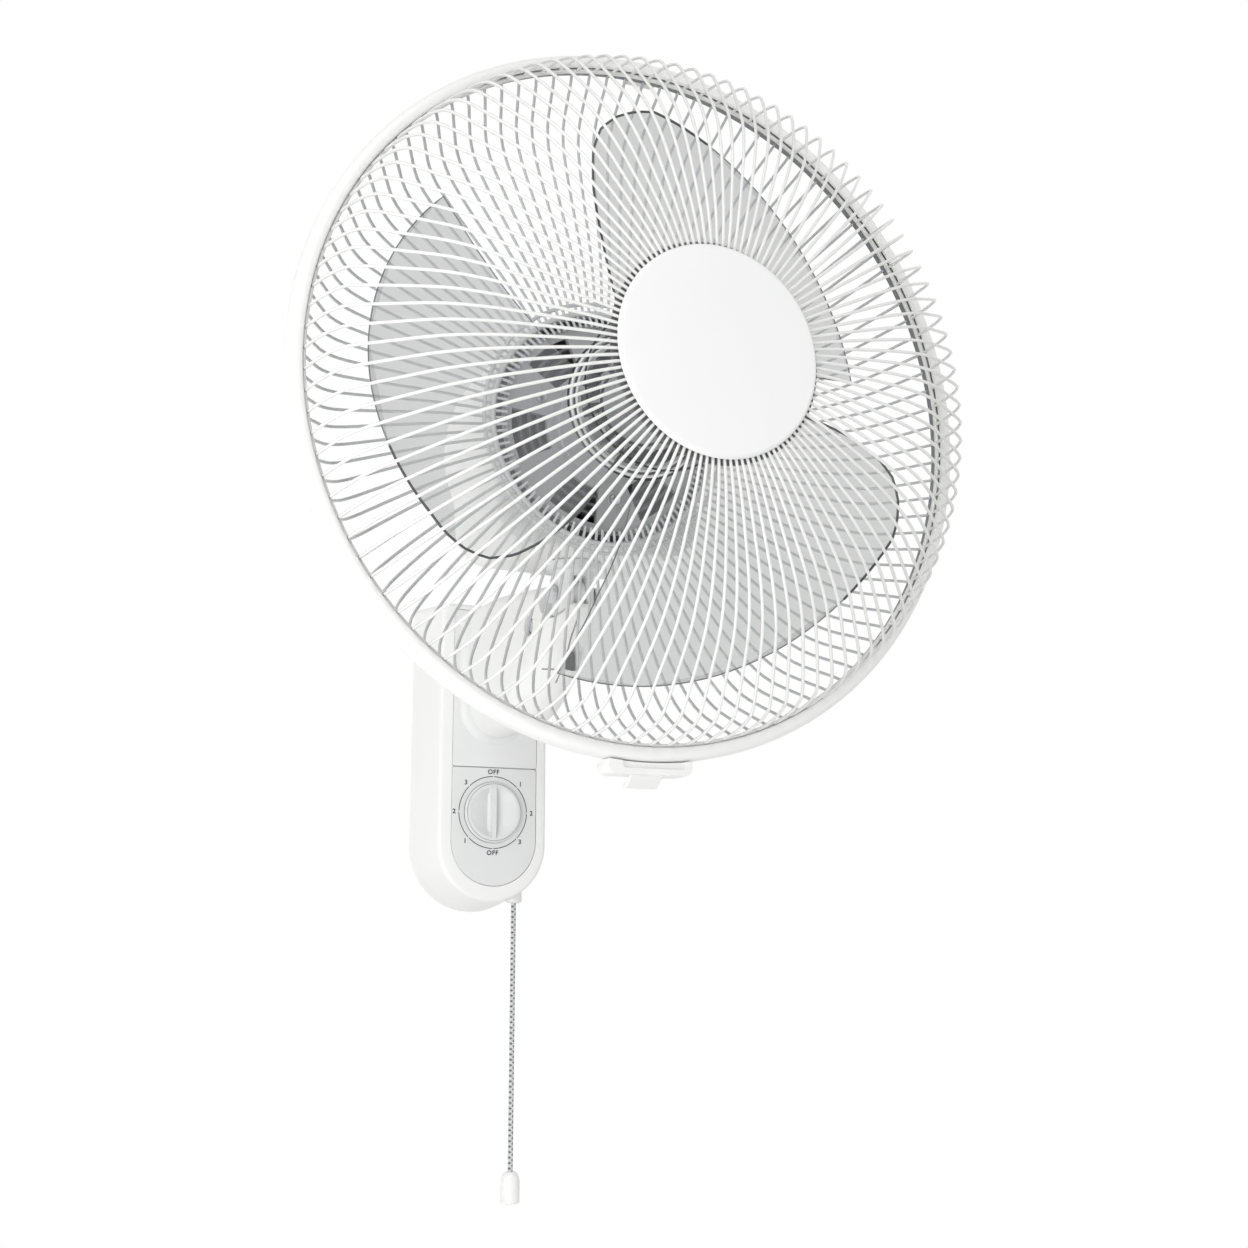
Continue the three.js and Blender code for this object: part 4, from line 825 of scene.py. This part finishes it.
# dial and knob
dialSettings = {
    "circle": 21.9, "ring": 24.4, "line": 0.24, "arcGap": 1.2, "size": 3.9,
    "words": ["OFF", "1", "2", "3"] * 2}
inkY = baseFront - 0.03
circle = dialSettings["circle"]
gap = math.radians(dialSettings["arcGap"])
for number, word in enumerate(dialSettings["words"]):
    turn = math.pi / 2 - math.tau * number / len(dialSettings["words"])
    reach = dialSettings["ring"] + (0.2 if word == "OFF" else 0.6)
    data = bpy.data.curves.new(f"mark_{number}", "FONT")
    data.body = word
    data.size = dialSettings["size"] * mm
    data.align_x = "CENTER"
    data.align_y = "CENTER"
    data.extrude = 0.02 * mm
    data.offset = 0.12 * mm
    data.space_character = 1.15
    mark = bpy.data.objects.new(f"mark_{number}", data)
    mark.location = Vector((reach * math.cos(turn), inkY, dialZ + reach * math.sin(turn))) * mm
    mark.rotation_euler = (math.pi / 2, 0, 0)
    collection.objects.link(mark)
    dress(mark, "base", "inkAndShadeDark")
    arc = []
    for i in range(15):
        angle = turn - gap - (math.tau / 8 - 2 * gap) * i / 14
        arc.append((circle * math.cos(angle), inkY + 0.02, dialZ + circle * math.sin(angle)))
    arcPiece = wirePiece(f"dialArc_{number}", [arc], dialSettings["line"], 2)
    dress(arcPiece, "base", "inkAndShadeDark")

knobSettings = {
    "radius": 18.5, "face": 17.2, "body": 16.3, "bodyBack": -32.1, "back": -39.9, "front": -41.9,
    "ridgeHalf": 1.5, "reach": 15.3, "scoop": 4.9}
knobFront = knobSettings["front"]
knobBack = knobSettings["back"]
knobRadius = knobSettings["radius"]
knobFace = knobSettings["face"]
ridgeHalf = knobSettings["ridgeHalf"]
knob = turnedPiece("knob", [
    (0, knobSettings["bodyBack"]), (knobSettings["body"], knobSettings["bodyBack"]),
    (knobSettings["body"], knobBack), (knobRadius - 0.2, knobBack), (knobRadius, knobBack - 0.2),
    (knobRadius, knobFront + 1.0), (knobRadius - 0.15, knobFront + 0.8), (knobFace + 0.35, knobFront + 0.55),
    (knobFace + 0.2, knobFront + 0.45), (knobFace, knobFront + 0.1), (knobFace - 0.3, knobFront),
    (0, knobFront)], "y", (0, dialZ), 128)


# a scoop beside the ridge: steep at the ridge and rising to the rim
def scoopPiece(name, side):
    rows = []
    reach = knobSettings["reach"]
    for i in range(21):
        x = ridgeHalf + (reach - 0.3 - ridgeHalf) * i / 20
        span = math.sqrt(max(reach ** 2 - x ** 2, 0.6))
        fall = (x - ridgeHalf) / (reach - ridgeHalf)
        near = min(0.35 + (x - ridgeHalf) / 2.6, 1)
        floor = knobFront + knobSettings["scoop"] * (1 - fall) ** 1.3 * math.sin(math.pi / 2 * near) + 0.2
        ring = [(side * x, knobFront - 1, dialZ - span), (side * x, knobFront - 1, dialZ + span)]
        for k in range(9):
            part = 1 - 2 * k / 8
            depth = knobFront + (floor - knobFront) * (1 - abs(part) ** 6)
            ring.append((side * x, depth, dialZ + span * part))
        rows.append(ring)
    return loftPiece(name, rows)


cutWith(knob, [
    scoopPiece("scoopRight", 1), scoopPiece("scoopLeft", -1),
    rodPiece("knobBore", "y", (0, dialZ), 3.1, -35.5, -31)])
softEdge(knob, 0.25, 2, 40)
dress(knob, "speed", "panelGrey")
# a dark line in the gap round the knob, and a line of painted shade at the edge of its face
for name, radius, y, line in (("knobGap", 18.55, -39.75, 0.16), ("knobShadeLine", 17.3, -42.0, 0.1)):
    ringLine = hoopPiece(name, radius, y, line, 2, 96, dialZ)
    dress(ringLine, "speed", "finAndShadeGrey")
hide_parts("speed_knob")
print("dial ready")


# arm: a section is (place along the arm, low, high, half of its width)
armSettings = {
    "sections": [
        (-35.1, 10.7, 89.5, 18.5), (-46, 10.6, 89.7, 18.5), (-58, 10.6, 89.8, 18.5), (-74, 10.6, 89.8, 18.45),
        (-90, 10.8, 89.3, 18.3), (-106, 12.4, 88, 17.9), (-122, 19.2, 86.4, 17.2), (-135, 27.6, 85.1, 16.5),
        (-148, 36.8, 83.8, 15.6), (-156, 45, 82.5, 14.8), (-163, 54.4, 80.5, 13.8), (-170, 61, 77, 12.4),
        (-176.2, 68, 71.5, 8)],
    "corner": 7, "tongue": 8.5, "tongueHalf": 4, "tongueReach": 16, "sweep": 13.4, "screw": (-138.5, 62.7)}
sections = smoothLine([(y, low, high) for y, low, high, half in armSettings["sections"]], 4)
halves = smoothLine([(y, half, 0) for y, low, high, half in armSettings["sections"]], 4)
armRings = []
for section, width in zip(sections, halves):
    outline = armOutline(section.y, section.z, width.y, armSettings["corner"])
    armRings.append([(x, section.x, z) for x, z in outline])
armBody = loftPiece("armBody", armRings, sharp=40)
# the arm's end is swept clear for the neck, then gets the tongue that the tilt bolt goes through
cutWith(armBody, [
    slabX("pivotSweep", circleRing(pivotY, pivotZ, armSettings["sweep"], 72), -40, 40),
    boxPiece("aboveFront", (-40, -195, pivotZ), (40, pivotY, 110))])
tongueRing = halfRing(pivotY, pivotZ, armSettings["tongue"], math.pi / 4, 32)
reach = armSettings["tongueReach"]
tongueRing += halfRing(pivotY + reach, pivotZ - reach, armSettings["tongue"], math.pi * 5 / 4, 32)
tongueHalf = armSettings["tongueHalf"]
cutWith(armBody, [slabX("tongue", tongueRing, -tongueHalf, tongueHalf)], "UNION")
cutWith(armBody, [
    slabX("pivotBore", circleRing(pivotY, pivotZ, pivotHole, 40), -20, 20),
    slabX("screwWell", circleRing(*armSettings["screw"], 6, 48), -30, -13.4),
    slabY("slit", roundedRing(-0.5, 0.5, 31, 66, 0.45, 4), -178, -138),
    slabY("notch", roundedRing(0.2, 11.5, 37.5, 50, 3.2, 6), -170, -139.5)])
dress(armBody, "base", "shellWhite")
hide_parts("arm")
# the skirt flares from the arm onto the strip, in the strip's grey: painted shade round the arm's root
skirtSettings = {"reach": 4.2, "deep": 7.5, "steps": 10}
skirtRings = []
for sin, cos in quarterTurn(skirtSettings["steps"]):
    grow = 0.02 + skirtSettings["reach"] * (1 - cos)
    y = baseFront - 0.05 - skirtSettings["deep"] * (1 - sin)
    skirtRings.append([(x, y, z) for x, z in armOutline(10.7 - grow, 89.5 + min(grow, 0.1), 18.5 + grow, 7)])
armSkirt = loftPiece("armSkirt", skirtRings, sharp=60, capEnds=False)
armSkirt.modifiers.new("thick", "SOLIDIFY").thickness = 0.2 * mm
dress(armSkirt, "base", "stripGrey")
# painted shade in the notch and in the screw's well, and a short seam beside the notch
notchShade = slabY("notchShade", roundedRing(0.3, 11.4, 37.6, 49.9, 3.1, 6), -140.4, -139.6)
dress(notchShade, "base", "finAndShadeGrey")
seamPath = [(-10.2, -144.4, 37.8), (-7.4, -146.6, 37.6), (-4.4, -148.2, 37.6)]
dress(wirePiece("seamLine", [seamPath], 0.4, 3), "base", "finAndShadeGrey")
wellScrew = slabX("wellScrew", circleRing(*armSettings["screw"], 3.6, 32), -14.6, -13.2)
softEdge(wellScrew, 0.6, 3)
dress(wellScrew, "base", "steelBright")
wellShade = slabX("wellShade", circleRing(*armSettings["screw"], 5.95, 32), -13.6, -13.3)
dress(wellShade, "base", "finAndShadeGrey")
print("arm ready")


# neck on the arm's tongue
neckSettings = {
    "profile": [
        (0, 64.5), (11.1, 64.5), (11.5, 65), (11.5, 88.8), (11.9, 89.5), (12.6, 89.9), (15.4, 89.9),
        (15.8, 90.3), (15.8, 94.1), (15.4, 94.5), (6, 94.5), (6, 99.6), (0, 99.6)],
    "keep": 12.2, "slotHalf": 4.3, "spindleBore": 2.2}
slotHalf = neckSettings["slotHalf"]
neckCollar = turnedPiece("neckCollar", neckSettings["profile"], "z", (0, pivotY), 96)
# the collar is cut to a half circle about the pivot, with straight sides above it
keepRing = halfRing(pivotY, pivotZ, neckSettings["keep"], math.pi, 32)
keepRing += [(pivotY + 20, pivotZ), (pivotY + 20, 105), (pivotY - 20, 105), (pivotY - 20, pivotZ)]
cutWith(neckCollar, [slabX("neckKeep", keepRing, -20, 20)], "INTERSECT")
cutWith(neckCollar, [
    boxPiece("neckSlot", (-slotHalf, -190, 40), (slotHalf, -140, 86)),
    slabX("neckBore", circleRing(pivotY, pivotZ, pivotHole, 40), -20, 20),
    rodPiece("spindleBore", "z", (0, pivotY), neckSettings["spindleBore"], 91.6, 101, 32)])
softEdge(neckCollar, 0.3, 2)
dress(neckCollar, "neck", "stripGrey")
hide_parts("neck_yoke")
print("neck ready")


# latch under the rim, and the lug at the top of the rim
latchSettings = {
    "half": 22.5, "low": -31.2, "corner": 4, "front": -265.0, "back": -250.5, "rimRadius": 185.9,
    "top": -25.0, "dish": 1.3, "tabHalf": 8.6,
    "tab": [
        (-261.6, -30.2), (-258.2, -30.2), (-249.4, -35.6), (-249.6, -36.4), (-250.4, -36.8), (-252.8, -36.8),
        (-253.6, -36.5)]}
latchHalf = latchSettings["half"]
latchLow = latchSettings["low"]
latchFront = latchSettings["front"]
latchRing = roundedRing(-latchHalf, latchHalf, latchLow, -20.6, latchSettings["corner"], 12)
latchBody = slabY("latchBody", latchRing, latchFront, latchSettings["back"])
latchDish = roundedRing(-15, 19, latchLow + 3.2, -15, 1.6, 8)
cutWith(latchBody, [
    rodPiece("rimWay", "y", (0, axisZ), latchSettings["rimRadius"], -270, -245, 256),
    slabY("latchDish", latchDish, latchFront - 1, latchFront + latchSettings["dish"]),
    boxPiece("behindRim", (-30, rimBack, latchSettings["top"]), (30, -240, -10))])
softEdge(latchBody, 0.7, 3)
dress(latchBody, "latch", "shellWhite")
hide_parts("guard_latch")
latchTab = slabX("latchTab", latchSettings["tab"], -latchSettings["tabHalf"], latchSettings["tabHalf"])
softEdge(latchTab, 0.6, 3)
dress(latchTab, "latch", "shellWhite")
latchArm = boxPiece("latchArm", (-5, -254.8, -25.4), (5, -251.0, -23.4))
softEdge(latchArm, 0.4, 2)
dress(latchArm, "latch", "shellWhite")
rimLug = boxPiece("rimLug", (-4, -255.5, 343.8), (4, -252.4, 346.2))
softEdge(rimLug, 0.8, 3)
dress(rimLug, "guard", "shellWhite")
print("latch ready")


# nodes of the frame that stay get their own finishes
keptNodes = {
    "steelCan": ("wall_plate", "spindle_lever", "gear_frame", "front_bush", "drive_link", "rotor_core"),
    "steelBright": ("switch_shaft", "spindle_screw", "hinge_pin", "latch_pin", "motor_shaft"),
    "switchBlack": ("rotary_switch", "capacitor", "pull_lever"),
    "neckGrey": ("tilt_bolt", "tilt_nut", "cap_clamp"),
    "shellWhite": ("top_hook", "latch_seat", "clutch_knob"),
    "canAndShadeDark": ("motor_bell", "stator"),
    "bronzeSoft": ("rear_bush", "crank_gear"),
    "stripGrey": ("terminal_block",)}
for finishName, kept in keptNodes.items():
    for node in kept:
        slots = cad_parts[node].data.materials
        slots.clear()
        slots.append(finishes[finishName])
print("kept nodes dressed")


# floor, backdrop and light
def veiledWhite(nodes, links, path, veilColour):
    # paper seen through the clear blades reads as a light grey
    veil = nodes.new("ShaderNodeMix")
    veil.data_type = "RGBA"
    veil.inputs["A"].default_value = (1, 1, 1, 1)
    veil.inputs["B"].default_value = (*veilColour, 1)
    through = nodes.new("ShaderNodeMath")
    through.operation = "MINIMUM"
    through.inputs[1].default_value = 1
    links.new(path.outputs["Transparent Depth"], through.inputs[0])
    seen = linkedMath(nodes, links, "MULTIPLY", through.outputs["Value"], path.outputs["Is Camera Ray"])
    links.new(seen, veil.inputs["Factor"])
    return veil.outputs["Result"]


# paper that shows plain white to the camera and to the rays in shows, and lights the part as paper does
def makeBackdrop(name, colour, veilColour, shows):
    finish = bpy.data.materials.new(name)
    finish.use_nodes = True
    nodes = finish.node_tree.nodes
    links = finish.node_tree.links
    shader = nodes["Principled BSDF"]
    shader.inputs["Base Color"].default_value = (*colour, 1)
    shader.inputs["Roughness"].default_value = 0.9
    glow = nodes.new("ShaderNodeEmission")
    path = nodes.new("ShaderNodeLightPath")
    seen = path.outputs["Is Camera Ray"]
    for other in shows:
        seen = linkedMath(nodes, links, "MAXIMUM", seen, path.outputs[other])
    links.new(veiledWhite(nodes, links, path, veilColour), glow.inputs["Color"])
    mix = nodes.new("ShaderNodeMixShader")
    links.new(seen, mix.inputs["Fac"])
    links.new(shader.outputs["BSDF"], mix.inputs[1])
    links.new(glow.outputs["Emission"], mix.inputs[2])
    links.new(mix.outputs["Shader"], nodes["Material Output"].inputs["Surface"])
    return finish


stageSettings = {
    "floorZ": -420, "backY": 900, "side": 3500, "front": -3500, "height": 3200, "round": 500,
    "paper": (0.85, 0.85, 0.85), "veil": (0.68, 0.68, 0.68)}
sweep = [(stageSettings["front"], stageSettings["floorZ"])]
for sin, cos in quarterTurn(16):
    sweep.append((
        stageSettings["backY"] - stageSettings["round"] * (1 - sin),
        stageSettings["floorZ"] + stageSettings["round"] * (1 - cos)))
sweep.append((stageSettings["backY"], stageSettings["height"]))
side = stageSettings["side"]
points = [(x, y, z) for x in (-side, side) for y, z in sweep]
faces = [(i, i + 1, len(sweep) + i + 1, len(sweep) + i) for i in range(len(sweep) - 1)]
backdrop = meshPiece("backdrop", points, faces)
backdrop.data.materials.append(makeBackdrop(
    "paperWhite", stageSettings["paper"], stageSettings["veil"], ["Is Glossy Ray", "Is Transmission Ray"]))

world = bpy.data.worlds.new("world")
world.use_nodes = True
# past the edges of the paper the camera sees the same white, and the part gets a softer light
worldSettings = {"light": 0.55, "seen": 1}
worldNodes = world.node_tree.nodes
worldLinks = world.node_tree.links
worldPath = worldNodes.new("ShaderNodeLightPath")
worldLevel = newNode(
    worldNodes, "ShaderNodeMapRange", **{"To Min": worldSettings["light"], "To Max": worldSettings["seen"]})
worldLinks.new(worldPath.outputs["Is Camera Ray"], worldLevel.inputs["Value"])
worldLinks.new(worldLevel.outputs["Result"], worldNodes["Background"].inputs["Strength"])
worldWhite = veiledWhite(worldNodes, worldLinks, worldPath, stageSettings["veil"])
worldLinks.new(worldWhite, worldNodes["Background"].inputs["Color"])
bpy.context.scene.world = world
lampSettings = [
    {"name": "keyLamp", "place": (-900, -1500, 1300), "size": 1.4, "power": 15},
    {"name": "fillLamp", "place": (1500, -1100, 500), "size": 1.6, "power": 5},
    {"name": "lowLamp", "place": (-650, -620, -420), "size": 0.7, "power": 7.6, "aim": (0, -40, -20)},
]
for settings in lampSettings:
    aim = Vector(settings.get("aim", (0, -200, 110))) * mm
    lampData = bpy.data.lights.new(settings["name"], "AREA")
    lampData.size = settings["size"]
    lampData.energy = settings["power"]
    lamp = bpy.data.objects.new(settings["name"], lampData)
    lamp.location = Vector(settings["place"]) * mm
    lamp.rotation_euler = (aim - lamp.location).to_track_quat("-Z", "Y").to_euler()
    collection.objects.link(lamp)
bpy.context.scene.view_settings.view_transform = "Standard"
print("light ready")
